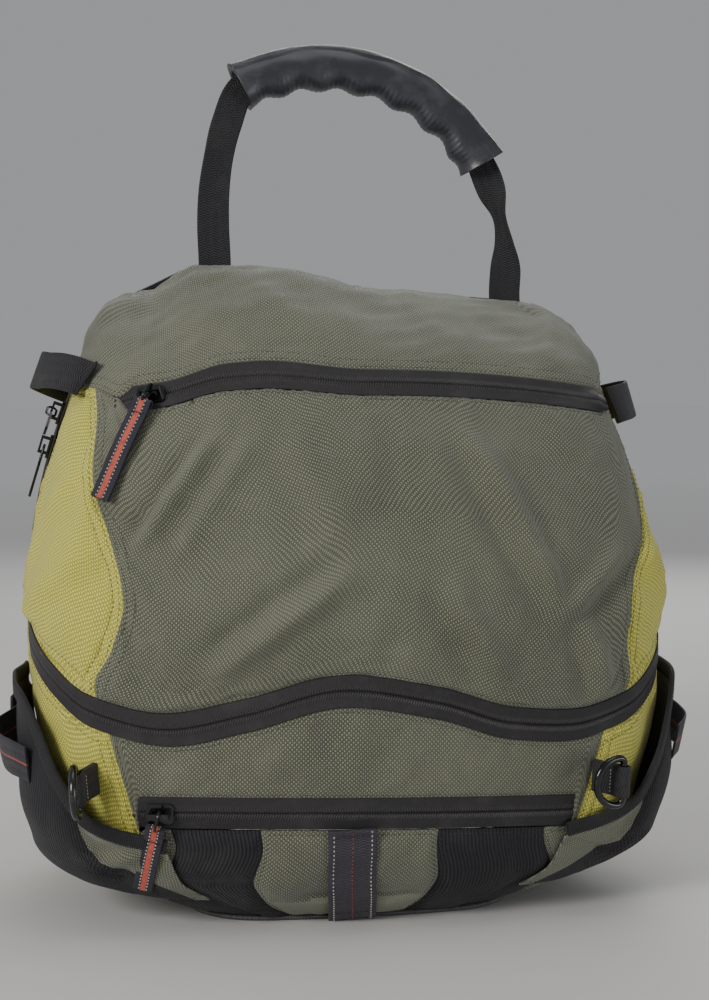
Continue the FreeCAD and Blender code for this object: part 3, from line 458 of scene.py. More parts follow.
def webbing_material(name, light, dark, pitch=0.0017, stripe=None, rough=0.6):
    """Woven webbing: slanted rows that meet in herringbone ribs, the row crowns painted paler and the furrows darker
    as painted highlight and shade. stripe: (half width, colour).
    """
    s = Shader(name, rough, Sheen_Weight=0.06, Sheen_Roughness=0.4, Specular_IOR_Level=0.35)
    u, v = s.uv()
    slant = s.math("PINGPONG", u, 0.0031)
    phase = s.times(s.add(v, s.times(slant, 0.5)), math.pi / pitch)
    rows = s.math("ABSOLUTE", s.math("SINE", phase))
    fine = s.ribs(u, 0.0008)
    height = s.add(rows, s.times(fine, 0.3))
    # painted highlight and shade from the row relief, mixed with random tone
    relief_shade_and_tone = s.add(s.times(height, 0.55), s.times(s.noise(700.0, 3.0, 0.6), 0.4))
    colour = s.mix(s.ramp(relief_shade_and_tone, 0.2, 1.0), dark, light)
    if stripe:
        wide, red = stripe
        middle = s.math("LESS_THAN", s.math("ABSOLUTE", u), wide)
        worn = s.times(middle, s.ramp(s.noise(260.0, 3.0, 0.6), 0.25, 0.5, 0.45, 1.0))
        colour = s.mix(worn, colour, red)
    rub = s.times(s.ramp(s.noise(42.0, 5.0, 0.65), 0.5, 0.8), 0.06)
    return s.finish(s.mix(rub, colour, (0.30, 0.29, 0.27)), height, 0.0004, 0.9)


def hard_material(name, light, dark, rough, metal=0.0, coat=0.3, grain=0.00006, scale=160.0):
    """Moulded plastic, lacquered metal or rubber, with fine grain, scuffs and an uneven gloss."""
    s = Shader(name, rough, Metallic=metal, Coat_Weight=coat, Coat_Roughness=0.18, Specular_IOR_Level=0.5)
    scuff = s.ramp(s.noise(55.0, 6.0, 0.7), 0.48, 0.72)
    fine = s.noise(scale * 5, 4.0, 0.6)
    colour = s.mix(s.times(scuff, 0.55), dark, light)
    return s.finish(colour, s.add(fine, s.times(s.noise(scale, 3.0, 0.6), 0.8)), grain, 1.0,
                    s.ramp(scuff, 0.0, 1.0, max(0.05, rough - 0.08), rough + 0.16))


OLIVE = cloth_material("olive_weave", (0.232, 0.240, 0.168), (0.030, 0.031, 0.021), 0.0014, rough=0.8)
OLIVE_COATED = cloth_material("olive_coated", (0.27, 0.278, 0.21), (0.12, 0.124, 0.09), 0.0011, 0.00012, 0.55,
                              0.1)
LIME = cloth_material("lime_weave", (0.80, 0.755, 0.150), (0.26, 0.240, 0.035), 0.0015, 0.0003, 0.8, 0.2,
                      0.05)
BLACK = cloth_material("black_weave", (0.026, 0.026, 0.028), (0.004, 0.004, 0.005), 0.0012, 0.00025, 0.75,
                       0.1, 0.02)
LINING = cloth_material("lining", (0.16, 0.16, 0.165), (0.07, 0.07, 0.075), 0.0009, 0.0001, 0.5, 0.1, 0.03)
RIBBED = ribbed_material("ribbed_black", (0.026, 0.025, 0.030), (0.003, 0.003, 0.004))
BINDING = ribbed_material("binding_black", (0.028, 0.027, 0.030), (0.005, 0.005, 0.006), 0.0013, False,
                          0.0003)
MESH = ribbed_material("air_mesh", (0.035, 0.035, 0.039), (0.003, 0.003, 0.004), 0.0040, True, 0.0012, 0.85)
STRAP = webbing_material("webbing_black", (0.028, 0.026, 0.031), (0.0035, 0.0035, 0.004))
PULL = webbing_material("webbing_pull", (0.036, 0.034, 0.050), (0.006, 0.006, 0.010), 0.0014,
                        (0.0017, (0.52, 0.10, 0.065)))
TRACER = webbing_material("webbing_tracer", (0.038, 0.036, 0.046), (0.006, 0.006, 0.008), 0.0016,
                          (0.00065, (0.36, 0.07, 0.05)))
GLOSS = hard_material("black_lacquer", (0.060, 0.060, 0.064), (0.008, 0.008, 0.009), 0.20, 0.6, 0.6, 0.00003)
PLASTIC = hard_material("lock_plastic", (0.060, 0.060, 0.064), (0.014, 0.014, 0.016), 0.34, 0.0, 0.15)
RUBBER = hard_material("grip_rubber", (0.058, 0.059, 0.070), (0.022, 0.023, 0.030), 0.46, 0.0, 0.12, 0.00012,
                       90.0)
THREADS = {colour: hard_material(f"thread_{colour}", light, dark, rough, 0.0, 0.0, 0.00005, 600.0)
           for colour, light, dark, rough in (("olive", (0.13, 0.132, 0.095), (0.05, 0.051, 0.036), 0.6),
                                              ("lime", (0.30, 0.30, 0.10), (0.13, 0.13, 0.04), 0.6),
                                              ("black", (0.06, 0.06, 0.062), (0.015, 0.015, 0.016), 0.55),
                                              ("white", (0.66, 0.64, 0.60), (0.38, 0.36, 0.33), 0.6),
                                              ("red", (0.50, 0.09, 0.06), (0.24, 0.04, 0.03), 0.6))}


# ---------------------------------------------------------------- meshes
def make_object(name, points, faces, materials, body, uv=None, material_index=None, replaces=()):
    """A smooth mesh from points in millimetres. uv is per point, in metres."""
    mesh = bpy.data.meshes.new(name)
    points = np.asarray(points, float).reshape(-1, 3) * MM
    faces = np.asarray(faces, np.int32)
    mesh.vertices.add(len(points))
    mesh.vertices.foreach_set("co", points.ravel())
    count, sides = faces.shape
    mesh.loops.add(count * sides)
    mesh.loops.foreach_set("vertex_index", faces.ravel())
    mesh.polygons.add(count)
    mesh.polygons.foreach_set("loop_start", np.arange(count, dtype=np.int32) * sides)
    mesh.polygons.foreach_set("loop_total", np.full(count, sides, np.int32))
    mesh.update(calc_edges=True)
    mesh.polygons.foreach_set("use_smooth", np.ones(count, bool))
    if uv is not None:
        layer = mesh.uv_layers.new(name="UVMap")
        layer.data.foreach_set("uv", np.asarray(uv, float).reshape(-1, 2)[faces.ravel()].ravel())
    for material in materials:
        mesh.materials.append(material)
    if material_index is not None:
        mesh.polygons.foreach_set("material_index", np.asarray(material_index, np.int32))
    mesh.validate()
    made = bpy.data.objects.new(name, mesh)
    bpy.context.scene.collection.objects.link(made)
    if body:
        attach(made, body)
    for node in replaces:
        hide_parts(node)
    return made


def grid_faces(rows, columns, start=0, wrap_rows=False, wrap_columns=False):
    """Quads of a grid of points, counted row by row from start."""
    i = np.arange(rows if wrap_rows else rows - 1)[:, None]
    j = np.arange(columns if wrap_columns else columns - 1)[None, :]
    i2, j2 = (i + 1) % rows, (j + 1) % columns
    quads = [i * columns + j, i2 * columns + j, i2 * columns + j2, i * columns + j2]
    return np.stack([np.broadcast_to(q, (i.shape[0], j.shape[1])) for q in quads], -1).reshape(-1, 4) + start


def grid_normals(p):
    return unit(np.cross(np.gradient(p, axis=0), np.gradient(p, axis=1)))


def slab_faces(rows, columns):
    """Faces of a sheet made of two grids, front before back: the front, the back and the closed edges."""
    n = rows * columns
    index = np.arange(n).reshape(rows, columns)
    rims = [np.stack([q[:-1], q[1:], q[1:] + n, q[:-1] + n], -1)
            for q in (index[:, 0][::-1], index[-1, :][::-1], index[:, -1], index[0, :])]
    return grid_faces(rows, columns), grid_faces(rows, columns, n)[:, ::-1], np.concatenate(rims)


def lengths(p, axis):
    """Length along the rows or the columns of a grid up to each point."""
    steps = np.linalg.norm(np.diff(p, axis=axis), axis=-1)
    zero = np.zeros((1, steps.shape[1])) if axis == 0 else np.zeros((steps.shape[0], 1))
    return np.cumsum(np.concatenate([zero, steps], axis=axis), axis=axis)


def fabric_object(name, p, thick, outer, body, replaces=(), patch=None, flip=False):
    """A sewn panel with an outside, a lining and closed edges. p[i, j] runs along the panel and up it.

    outer lists the outside's materials, and patch says which one each face of the outside has."""
    normals = grid_normals(p) * (-1 if flip else 1)
    rows, columns = p.shape[:2]
    around, up = lengths(p, 0), lengths(p, 1)
    around = around - around[-1:] / 2
    uv = np.stack([around, up], -1) * MM
    back = p - normals * thick
    faces = [f[:, ::-1] if flip else f for f in slab_faces(rows, columns)]
    marks = np.zeros(len(faces[0])) if patch is None else patch.astype(int).ravel()
    marks = np.concatenate([marks, np.full(len(faces[1]), len(outer)), np.zeros(len(faces[2]))])
    return make_object(name, np.concatenate([p.reshape(-1, 3), back.reshape(-1, 3)]), np.concatenate(faces),
                       [*outer, LINING], body, np.concatenate([uv.reshape(-1, 2)] * 2), marks, replaces)


def settle(p, slack, push, limit, frames=16, size=(64, 44)):
    """Cloth simulation of a slack panel that is held at its seams and filled from behind."""
    rows, columns = min(size[0], p.shape[0]), min(size[1], p.shape[1])
    i = np.round(np.linspace(0, p.shape[0] - 1, rows)).astype(int)
    j = np.round(np.linspace(0, p.shape[1] - 1, columns)).astype(int)
    coarse = p[np.ix_(i, j)]
    mesh = bpy.data.meshes.new("settling")
    jitter = rng.normal(0, 0.25, coarse.shape)
    jitter[[0, -1]] = 0
    jitter[:, [0, -1]] = 0
    mesh.from_pydata([tuple(q) for q in ((coarse + jitter) * 0.01).reshape(-1, 3)], [],
                     [tuple(int(c) for c in f) for f in grid_faces(rows, columns)])
    made = bpy.data.objects.new("settling", mesh)
    bpy.context.scene.collection.objects.link(made)
    border = np.zeros((rows, columns), bool)
    border[[0, -1]] = True
    border[:, [0, -1]] = True
    pins = made.vertex_groups.new(name="pins")
    pins.add([int(k) for k in np.flatnonzero(border.ravel())], 1.0, "REPLACE")
    cloth = made.modifiers.new("cloth", "CLOTH")
    c = cloth.settings
    c.quality, c.mass, c.air_damping = 6, 0.3, 3.0
    c.tension_stiffness = c.compression_stiffness = 28.0
    c.shear_stiffness, c.bending_stiffness = 12.0, 0.35
    c.vertex_group_mass = "pins"
    c.shrink_min = -slack
    c.use_pressure, c.uniform_pressure_force = True, push
    cloth.point_cache.frame_start, cloth.point_cache.frame_end = 1, frames
    scene = bpy.context.scene
    for f in range(1, frames + 1):
        scene.frame_set(f)
    shape = made.evaluated_get(bpy.context.evaluated_depsgraph_get())
    co = np.empty(rows * columns * 3)
    shape.data.vertices.foreach_get("co", co)
    scene.frame_set(1)
    bpy.data.objects.remove(made)
    moved = co.reshape(rows, columns, 3) * 100 - coarse
    if not np.isfinite(moved).all():
        return p
    size_of = np.linalg.norm(moved, axis=-1, keepdims=True)
    moved = moved * np.minimum(1, limit / np.maximum(size_of, 1e-6))
    full = np.empty(p.shape)
    for k in range(3):
        part = np.stack([np.interp(np.arange(p.shape[0]), i, moved[:, q, k]) for q in range(columns)], 1)
        full[..., k] = np.stack([np.interp(np.arange(p.shape[1]), j, row) for row in part])
    return p + soften(full)


def soften(field, times=2):
    for _ in range(times):
        inner = field.copy()
        inner[1:-1, 1:-1] = (field[:-2, 1:-1] + field[2:, 1:-1] + field[1:-1, :-2] + field[1:-1, 2:]
                             + 2 * field[1:-1, 1:-1]) / 6
        field = inner
    return field


def margin(p):
    """Distance in millimetres of each point of a grid to the nearest of its four edges."""
    a, b = lengths(p, 0), lengths(p, 1)
    return np.minimum.reduce((a, a[-1:] - a, b, b[:, -1:] - b))


def fold(x, z, start, end, wide, high):
    """A soft fold of the cloth along a line between two points seen from the front."""
    d = vec(end[0] - start[0], end[1] - start[1])
    length = np.hypot(*d)
    u = ((x - start[0]) * d[0] + (z - start[1]) * d[1]) / length**2
    off_line = ((x - start[0]) * d[1] - (z - start[1]) * d[0]) / length
    taper = smooth(u / 0.35 + 0.3) * smooth((1 - u) / 0.35 + 0.3)
    lee = np.exp(-((off_line / wide) ** 2)) - 0.55 * np.exp(-(((off_line - wide * 1.5) / (wide * 1.1)) ** 2))
    return high * lee * taper


def spread(n, amount=0.09):
    """Positions from 0 to 1 that crowd towards both ends."""
    u = np.linspace(0, 1, n)
    return u - amount * np.sin(math.tau * u)


def patch_grid(left, right, bottom, top, columns, rows):
    """Positions (t, z) of a panel between two side seams and two lines, crowded towards its edges."""
    a, b = spread(columns)[:, None], spread(rows)[None, :]
    z = np.full((columns, rows), 200.0)
    t = left(z) * (1 - a) + right(z) * a
    for _ in range(7):
        low, high = bottom(t), np.minimum(BODY_TOP, top(t))
        z = low + (high - low) * b
        t = left(z) * (1 - a) + right(z) * a
    return t, z


def at(value):
    """A side or a line of a panel that stays at one value."""
    return lambda z: np.full(np.shape(z), float(value))


def sewn(p, normals, seed, tuck, pucker, grooves):
    """Relief of a sewn panel: tucked at its seams, puckered beside them, with the stitch lines pulled in."""
    d = margin(p)
    a, b = lengths(p, 0), lengths(p, 1)
    out = -tuck * (1 - smooth(d / 3.2))
    out += pucker * np.exp(-d / 13) * waves(a, b, 15.0, seed) * smooth(d / 4)
    out += 0.45 * waves(a, b, 34.0, seed + 1) * smooth(d / 25)
    for g in grooves:
        out -= 0.5 * np.exp(-(((d - g) / 1.3) ** 2))
    return p + normals * out[..., None]


def inset(p, edge, distance, flip=False, trim=3.0):
    """A line on a grid at a distance from one of its edges, with the normals there."""
    n = grid_normals(p) * (-1 if flip else 1)
    turn = {"low": lambda q: q, "high": lambda q: q[:, ::-1], "first": lambda q: q.transpose(1, 0, 2),
            "last": lambda q: q[::-1].transpose(1, 0, 2)}[edge]
    q, m = turn(p), turn(n)
    s = lengths(q, 1)
    line = np.array([[np.interp(distance, s[i], q[i, :, k]) for k in range(3)] for i in range(len(q))])
    normal = np.array([[np.interp(distance, s[i], m[i, :, k]) for k in range(3)] for i in range(len(q))])
    reach = run(line)
    keep = (reach > trim) & (reach < reach[-1] - trim)
    return line[keep], unit(normal[keep])


STITCHES = {}


def stitch(colour, body, line, normals, pitch=3.3, cover=0.64, radius=0.3, raised=0.1):
    """A row of stitches along a line: each is a short thread that dips into the cloth at both ends."""
    s = run(line)
    count = int(s[-1] / pitch)
    if count < 1:
        return
    starts = (np.arange(count) + 0.5 - cover / 2) * pitch
    a, b, n = (np.stack([np.interp(q, s, v[:, k]) for k in range(3)], -1)
               for q, v in ((starts, line), (starts + cover * pitch, line), (starts, normals)))
    n = unit(n)
    STITCHES.setdefault((colour, body), []).append((a + n * raised, b + n * raised, n, np.full(count,
                                                                                               radius)))


def edge_stitches(colour, body, p, edges, distances, flip=False):
    for edge in edges:
        for distance in distances:
            stitch(colour, body, *inset(p, edge, distance, flip))


def build_stitches():
    for (colour, body), rows in STITCHES.items():
        a, b, n, r = (np.concatenate([row[k] for row in rows]) for k in range(4))
        along, side = b - a, unit(np.cross(b - a, n))
        u = np.array([0.0, 0.14, 0.5, 0.86, 1.0])
        wide, dip = np.array([0.25, 0.85, 1.1, 0.85, 0.25]), np.array([-0.45, -0.1, 0.05, -0.1, -0.45])
        angle = np.arange(6) / 6 * math.tau
        p = (a[:, None, None] + along[:, None, None] * u[None, :, None, None]
             + n[:, None, None] * (dip[None, :, None, None] + (r[:, None] * wide)[..., None, None]
                                   * np.sin(angle)[None, None, :, None])
             + side[:, None, None] * (r[:, None] * wide)[..., None, None] * np.cos(angle)[None, None, :,
                                                                                          None])
        ring = grid_faces(5, 6, wrap_columns=True)
        faces = (ring[None] + np.arange(len(a))[:, None, None] * 30).reshape(-1, 4)
        make_object(f"stitches_{colour}_{body}", p, faces, [THREADS[colour]], body, None, None)


def sweep(path, normals, section):
    """A closed tube: section[i, m] holds offsets across and outwards at each point of the path."""
    path, normals = np.asarray(path, float), np.asarray(normals, float)
    tangent = unit(np.gradient(path, axis=0))
    normals = unit(normals - tangent * np.sum(normals * tangent, -1, keepdims=True))
    across = np.cross(tangent, normals)
    p = path[:, None] + across[:, None] * section[..., :1] + normals[:, None] * section[..., 1:]
    centre = p.mean(1, keepdims=True)
    caps = [centre[i] + (p[i] - centre[i]) * f for i, f in ((0, 0.01), (0, 0.7), (-1, 0.7), (-1, 0.01))]
    p = np.concatenate([caps[0][None], caps[1][None], p, caps[2][None], caps[3][None]])
    s = run(path)
    s = np.concatenate([[s[0]] * 2, s, [s[-1]] * 2])
    wide = np.concatenate([section[:1, :, 0]] * 2 + [section[..., 0]] + [section[-1:, :, 0]] * 2)
    uv = np.stack([wide, np.broadcast_to(s[:, None], wide.shape)], -1) * MM
    return p.reshape(-1, 3), grid_faces(len(p), p.shape[1], wrap_columns=True), uv.reshape(-1, 2), (across,
                                                                                                    normals)


def oval(points, wide, tall, square=1.0, flat=1.0):
    """An oval section. Powers below 1 bring it nearer to a box."""
    angle = np.arange(points) / points * math.tau
    c, s = np.cos(angle), np.sin(angle)
    return np.stack([wide * np.sign(c) * np.abs(c) ** square, tall * np.sign(s) * np.abs(s) ** flat], -1)


def flat_section(count, wide, thick, points=28, square=0.22, cup=0.0):
    """Sections of webbing: flat, with round selvedges that are slightly thinner than its middle."""
    wide, thick = np.broadcast_to(wide, (count,)), np.broadcast_to(thick, (count,))
    x, y = oval(points, 1.0, 1.0, square, 0.45).T
    return np.stack([wide[:, None] / 2 * x, thick[:, None] / 2 * y + cup * (x**2)], -1)


def along_path(points, values, step=2.0):
    """Points and values of a smooth path, evenly spaced."""
    points, values = np.asarray(points, float), np.asarray(values, float)
    s = run(points)
    u = np.linspace(0, s[-1], max(12, int(s[-1] / step)))
    table = np.column_stack([s, points, values.reshape(len(points), -1)])
    dense = np.stack([catmull(table[:, 0], table[:, k], u) for k in range(1, table.shape[1])], -1)
    return dense[:, :3], dense[:, 3:]


def catmull(s, v, u):
    """Smooth curve through values v at s."""
    m = np.gradient(v, s)
    i = np.clip(np.searchsorted(s, u, side="right") - 1, 0, len(s) - 2)
    h = s[i + 1] - s[i]
    q = (u - s[i]) / h
    return ((2 * q**3 - 3 * q**2 + 1) * v[i] + (q**3 - 2 * q**2 + q) * m[i] * h
            + (3 * q**2 - 2 * q**3) * v[i + 1] + (q**3 - q**2) * m[i + 1] * h)


def ribbon(name, points, normals, wide, thick, material, body, replaces=(), stitches=None, cup=0.0,
           step=2.0):
    """A piece of webbing along a path."""
    extra = np.column_stack([np.asarray(normals, float), np.broadcast_to(wide, (len(points),))])
    path, extra = along_path(points, extra, step)
    normals, wides = extra[:, :3], extra[:, 3]
    section = flat_section(len(path), wides, thick, cup=cup)
    p, faces, uv, (across, n) = sweep(path, normals, section)
    made = make_object(name, p, faces, [material], body, uv, None, replaces)
    for colour, where in stitches or ():
        offset = where * wides[:, None] / 2
        stitch(colour, body, path + across * offset + n * thick / 2, n, 2.5, 0.55, 0.42, 0.05)
    return made


def plate(name, outline, low, high, materials, body, replaces=(), relief=None, spine=(3.0, 80.0, 330.0),
          rings=26, depth_axis=1, round_edge=2.0):
    """A padded plate between two parallel planes. outline is a closed loop in the plate's own plane."""
    n = len(outline)
    middle = np.stack([np.full(n, spine[0]), np.clip(outline[:, 1], spine[1], spine[2])], -1)
    r = np.sin(np.linspace(0, math.pi / 2, rings))
    distance = np.linalg.norm(outline - middle, axis=1)[:, None] * (1 - r)[None, :]
    flat = middle[:, None] + (outline - middle)[:, None] * r[None, :, None]
    rounded = round_edge * (1 - np.sqrt(np.clip(1 - (1 - np.clip(distance / (2 * round_edge), 0, 1)) ** 2, 0,
                                                1)))
    front = high - rounded
    if relief is not None:
        front = front + relief(flat[..., 0], flat[..., 1], distance)
    rear = low + rounded
    levels = np.concatenate([front, rear[:, ::-1]], 1)
    plane = np.concatenate([flat, flat[:, ::-1]], 1)
    p = np.insert(plane, depth_axis, levels, -1)
    faces = grid_faces(n, 2 * rings, wrap_rows=True)
    rear_side = np.arange(2 * rings - 1) >= rings - 1
    marks = np.broadcast_to(rear_side[None, :], (n, 2 * rings - 1)).ravel().astype(int)
    return make_object(name, p, faces, materials, body, plane.reshape(-1, 2) * MM, marks, replaces)


def rounded_box(x0, x1, z0, z1, radius, count=160):
    a = np.arange(count) / count * math.tau
    x = (x1 - x0) / 2 - radius
    z = (z1 - z0) / 2 - radius
    c, s = np.cos(a), np.sin(a)
    line = np.stack([(x0 + x1) / 2 + np.sign(c) * x + radius * c,
                     (z0 + z1) / 2 + np.sign(s) * z + radius * s], -1)
    return resample(np.concatenate([line, line[:1]]), count + 1)[:-1]


# ---------------------------------------------------------------- fabric panels of the shell
def front_room(t):
    return (FRONT.room - 1.4) * (1 - past_end(t, FRONT_ENDS, 0.045))


def lower_room(t):
    return (LOWER.room - 1.4) * (1 - past_end(t, LOWER_ENDS, 0.03))


FRONT_FOLDS = [((-92, 306), (-142, 236), 5, 5.4), ((-70, 304), (-118, 232), 6, 3.6), ((-15, 225), (-100, 163),
                                                                                      8, 8.6),
               ((62, 310), (120, 195), 8, 8.4), ((120, 195), (165, 233), 7, 6.2), ((133, 195), (150, 138), 7,
                                                                                   7.4),
               ((42, 221), (80, 157), 9, 6.6), ((-45, 305), (-20, 240), 13, 3.6), ((20, 300), (5, 250), 14,
                                                                                   -2.8),
               ((10, 180), (50, 150), 8, 3.6)]
FLAT_PLACE, FLAT_SIZE = (156.0, 316.0), (36.0,
                                         42.0)      # the cloth lies flat below the front zip's right end
TAPE_EDGE = TAPE_HALF + 0.4
COATED_HEIGHT = 19.0
COVER_START, COVER_TOP = 0.43, 72.0      # where the side pockets cover the boot


def make_front_panel():
    t, z = patch_grid(lambda z: seam(-1, z), lambda z: seam(1, z), lambda t: waist(t) + TAPE_EDGE,
                      lambda t: shoulder(t) - front_room(t), 210, 120)
    n = outward(t, z)
    base = shell(t, z)
    d = margin(base)
    out = 2.5 * smooth(d / 60)
    for start, end, wide, high in FRONT_FOLDS:
        out = out + fold(base[..., 0], base[..., 2], start, end, wide, high) * smooth(d / 14)
    p = settle(base + n * out[..., None], 0.016, 0.25, 2.2)
    flat = np.hypot((base[..., 0] - FLAT_PLACE[0]) / FLAT_SIZE[0], (base[...,
                                                                         2] - FLAT_PLACE[1]) / FLAT_SIZE[1])
    p = base + (p - base) * (0.1 + 0.9 * smooth((flat - 0.8) / 0.5))[..., None]
    p = sewn(p, n, 3, 1.3, 0.45, ONE_ROW)
    fray = rng.normal(0, 0.5, len(p))
    p[:, -1, 2] += np.where(np.abs(t[:, -1]) < 0.56, fray, 0)
    fabric_object("front_cloth", p, CLOTH, [OLIVE], "shell", ("front_panel",))
    edge_stitches("olive", "shell", p, ("low", "high"), ONE_ROW)
    edge_stitches("olive", "shell", p, ("first", "last"), OLIVE_ROWS)


def make_lower_band():
    t, z = patch_grid(lambda z: seam(-1, z), lambda z: seam(1, z),
                      lambda t: boot_top(t) + 0.4 + 2 * lower_room(t), lambda t: waist(t) - TAPE_EDGE, 200, 50)
    n = outward(t, z)
    base = shell(t, z)
    d = margin(base)
    out = 1.6 * smooth(d / 25) + 1.1 * waves(base[..., 0] * 1.6, base[..., 2], 60, 21) * smooth(d / 12)
    p = sewn(base + n * out[..., None], n, 5, 1.3, 0.5, ONE_ROW)
    fabric_object("lower_band_cloth", p, THIN_CLOTH, [OLIVE], "shell", ("lower_front_band",))
    edge_stitches("olive", "shell", p, ("low", "high", "first", "last"), ONE_ROW)


def make_sides():
    for side, word in ((-1, "left"), (1, "right")):
        ends = [at(side), lambda z, s=side: seam(s, z)]
        ends = ends if side < 0 else ends[::-1]
        rear, front = ("first", "last") if side < 0 else ("last", "first")
        t, z = patch_grid(*ends, lambda t: waist(t) + TAPE_EDGE, side_top, 120, 110)
        n, base = outward(t, z), shell(t, z)
        d = margin(base)
        y, h = base[..., 1], base[..., 2]
        out = 2.0 * smooth(d / 40) + 1.7 * waves(y, h * 0.55, 75, 31 + side) * smooth(d / 18)
        for k, (ya, za, yb, zb) in enumerate(((-80, 300, -20, 215), (-95, 240, -40, 185), (20, 290, 52,
                                                                                           225))):
            out = out + fold(y, h, (ya, za), (yb, zb), 8, 2.4 - 0.3 * k) * smooth(d / 14)
        p = settle(base + n * out[..., None], 0.014, 0.4, 4.0)
        p = sewn(p, n, 7 + side, 1.3, 0.5, LIME_ROWS)
        fabric_object(f"side_cloth_{word}", p, CLOTH, [LIME], "shell", (f"side_panel_{word}",))
        edge_stitches("lime", "shell", p, (front, "low", "high", rear), LIME_ROWS)
        t, z = patch_grid(*ends, boot_top, lambda t: waist(t) - TAPE_EDGE, 120, 70)
        n, base = outward(t, z), shell(t, z)
        d = margin(base)
        out = 0.9 * waves(base[..., 1], base[..., 2], 55, 41 + side) * smooth(d / 15)
        p = sewn(base + n * out[..., None], n, 9 + side, 1.3, 0.5, LIME_ROWS)
        fabric_object(f"gusset_cloth_{word}", p, THIN_CLOTH, [LIME], "shell",
                      (f"lower_gusset_{word}",))
        edge_stitches("lime", "shell", p, (front, "high", rear), LIME_ROWS)


def yoke_grid(columns=190, rows=70):
    a, b = spread(columns, 0.06)[:, None], spread(rows, 0.06)[None, :]
    t = -0.996 + 1.992 * a
    start = seam_at(t, SIDE_FRONT)
    edge = np.where(np.abs(t) < start, shoulder(t) + front_room(t), side_top(t))
    front = shell(t, edge)
    tips = [shell(s * 0.985, SIDE_REAR)[..., 0] for s in (-1, 1)]
    x = front[..., 0] * (1 - b) + (tips[0] * (1 - a) + tips[1] * a) * b
    y = front[..., 1] * (1 - b) + REAR_Y * b
    z, step = roof(x, y), 1.0
    z = z * (b > 0) + edge * (b <= 0)
    slope_x = (roof(x + step, y) - roof(x - step, y)) / (2 * step)
    ahead = np.minimum(y + step, REAR_Y)
    slope_y = (roof(x, ahead) - roof(x, y - step)) / (ahead - y + step)
    n = unit(np.stack([-slope_x, -slope_y, np.ones_like(z)], -1))
    return np.stack([x, y, z + lift(x, z)], -1), n


def make_yoke():
    p, n = yoke_grid()
    n = soften(n, 3)
    a, b = p[..., 0], p[..., 1]
    d = margin(p)
    out = 1.2 * smooth(d / 25) + 0.8 * waves(a, b, 60, 51) * smooth(d / 16)
    dip = np.exp(-(((a + 4) / 26) ** 2)) * np.exp(-(((b - 55) / 30) ** 2))
    out = out - 2.4 * dip + fold(a, p[..., 2], (-60, 400), (-20, 366), 8, 2.0) * smooth(d / 12)
    out = out + fold(a, p[..., 2], (150, 384), (120, 344), 7, 2.6) * smooth(d / 12)
    out = out + fold(a, p[..., 2], (40, 392), (75, 352), 9, 1.8) * smooth(d / 12)
    p = sewn(p + n * out[..., None], n, 13, 1.2, 0.5, ONE_ROW)
    fabric_object("yoke_cloth", p, CLOTH, [OLIVE], "shell", ("top_yoke",))
    edge_stitches("olive", "shell", p, ("low",), OLIVE_ROWS)
    edge_stitches("olive", "shell", p, ("high",), (4.0,))
    row = np.argmin(np.abs(p[:, -1, 0])), np.argmin(np.abs(p[:, -1, 0] - 30))
    bar, normal = p[row[0]:row[1], -7], n[row[0]:row[1], -7]
    if len(bar) > 3:
        for k in range(3):
            stitch("olive", "shell", bar + vec(0, -k * 1.1, 0), normal, 2.0, 0.7, 0.4, 0.3)


def boot_seam(t):
    """A seam of the boot: it runs straight down, so it moves outwards round the narrowing foot."""
    spread_out = 0.40 if abs(t) < 0.9 else 0.0
    return lambda z: t * (1 + spread_out * (1 - smooth(z / 60)))


def make_boot():
    edges = (-1.0,) + PATCHES + (1.0,)
    names = ("boot_corner_left", "boot_patch_left", "boot_centre", "boot_patch_right", "boot_corner_right")
    for k, name in enumerate(names):
        columns = 110 if "corner" in name else 60
        t, z = patch_grid(boot_seam(edges[k]), boot_seam(edges[k + 1]), at(2.4), boot_top, columns, 64)
        n, base = outward(t, z), shell(t, z)
        d = margin(base)
        out = (1.0 * waves(base[..., 0], base[..., 2], 48, 61 + k) + 1.2) * smooth(d / 10)
        x, h = base[..., 0], base[..., 2]
        if name == "boot_centre":
            out = out + fold(x, h, (-46, 23), (34, 21), 3.4, -2.2) * smooth(d / 8)
        if "corner" in name:
            s = math.copysign(1, edges[k] + edges[k + 1])
            out = out + fold(x, h, (s * 100, 44), (s * 160, 12), 5, 2.0) * smooth(d / 8)
        covered = smooth((np.abs(t) - COVER_START) / 0.04) * (1 - smooth((z - COVER_TOP) / 10))
        out = out * (1 - covered) - 0.8 * covered
        p = sewn(base + n * out[..., None], n, 17 + k, 1.2, 0.2 if "corner" in name else 0.4, (2.8,))
        ribbed = "patch" in name
        coated = name == "boot_centre"
        mark = z[:-1, :-1] < COATED_HEIGHT if coated else None
        outer = [OLIVE, OLIVE_COATED] if coated else [RIBBED if ribbed else OLIVE]
        fabric_object(f"{name}_cloth", p, THIN_CLOTH, outer, "shell",
                      (name,), mark)
        edge_stitches("black" if ribbed else "olive", "shell", p, ("first", "last", "high"), (2.8,))
    t = np.linspace(-1, 1, 200)
    line = shell(t, 2.6)[:, :2]
    line = resample(np.concatenate([line, np.linspace(line[-1], line[0], 40)[1:]]), 240)[:-1]
    plate("base_cloth", line, 2.5, 0.55, [BLACK, LINING], "shell", ("base_panel",),
          spine=(0.0, -10.0, 20.0), depth_axis=2, round_edge=0.5)


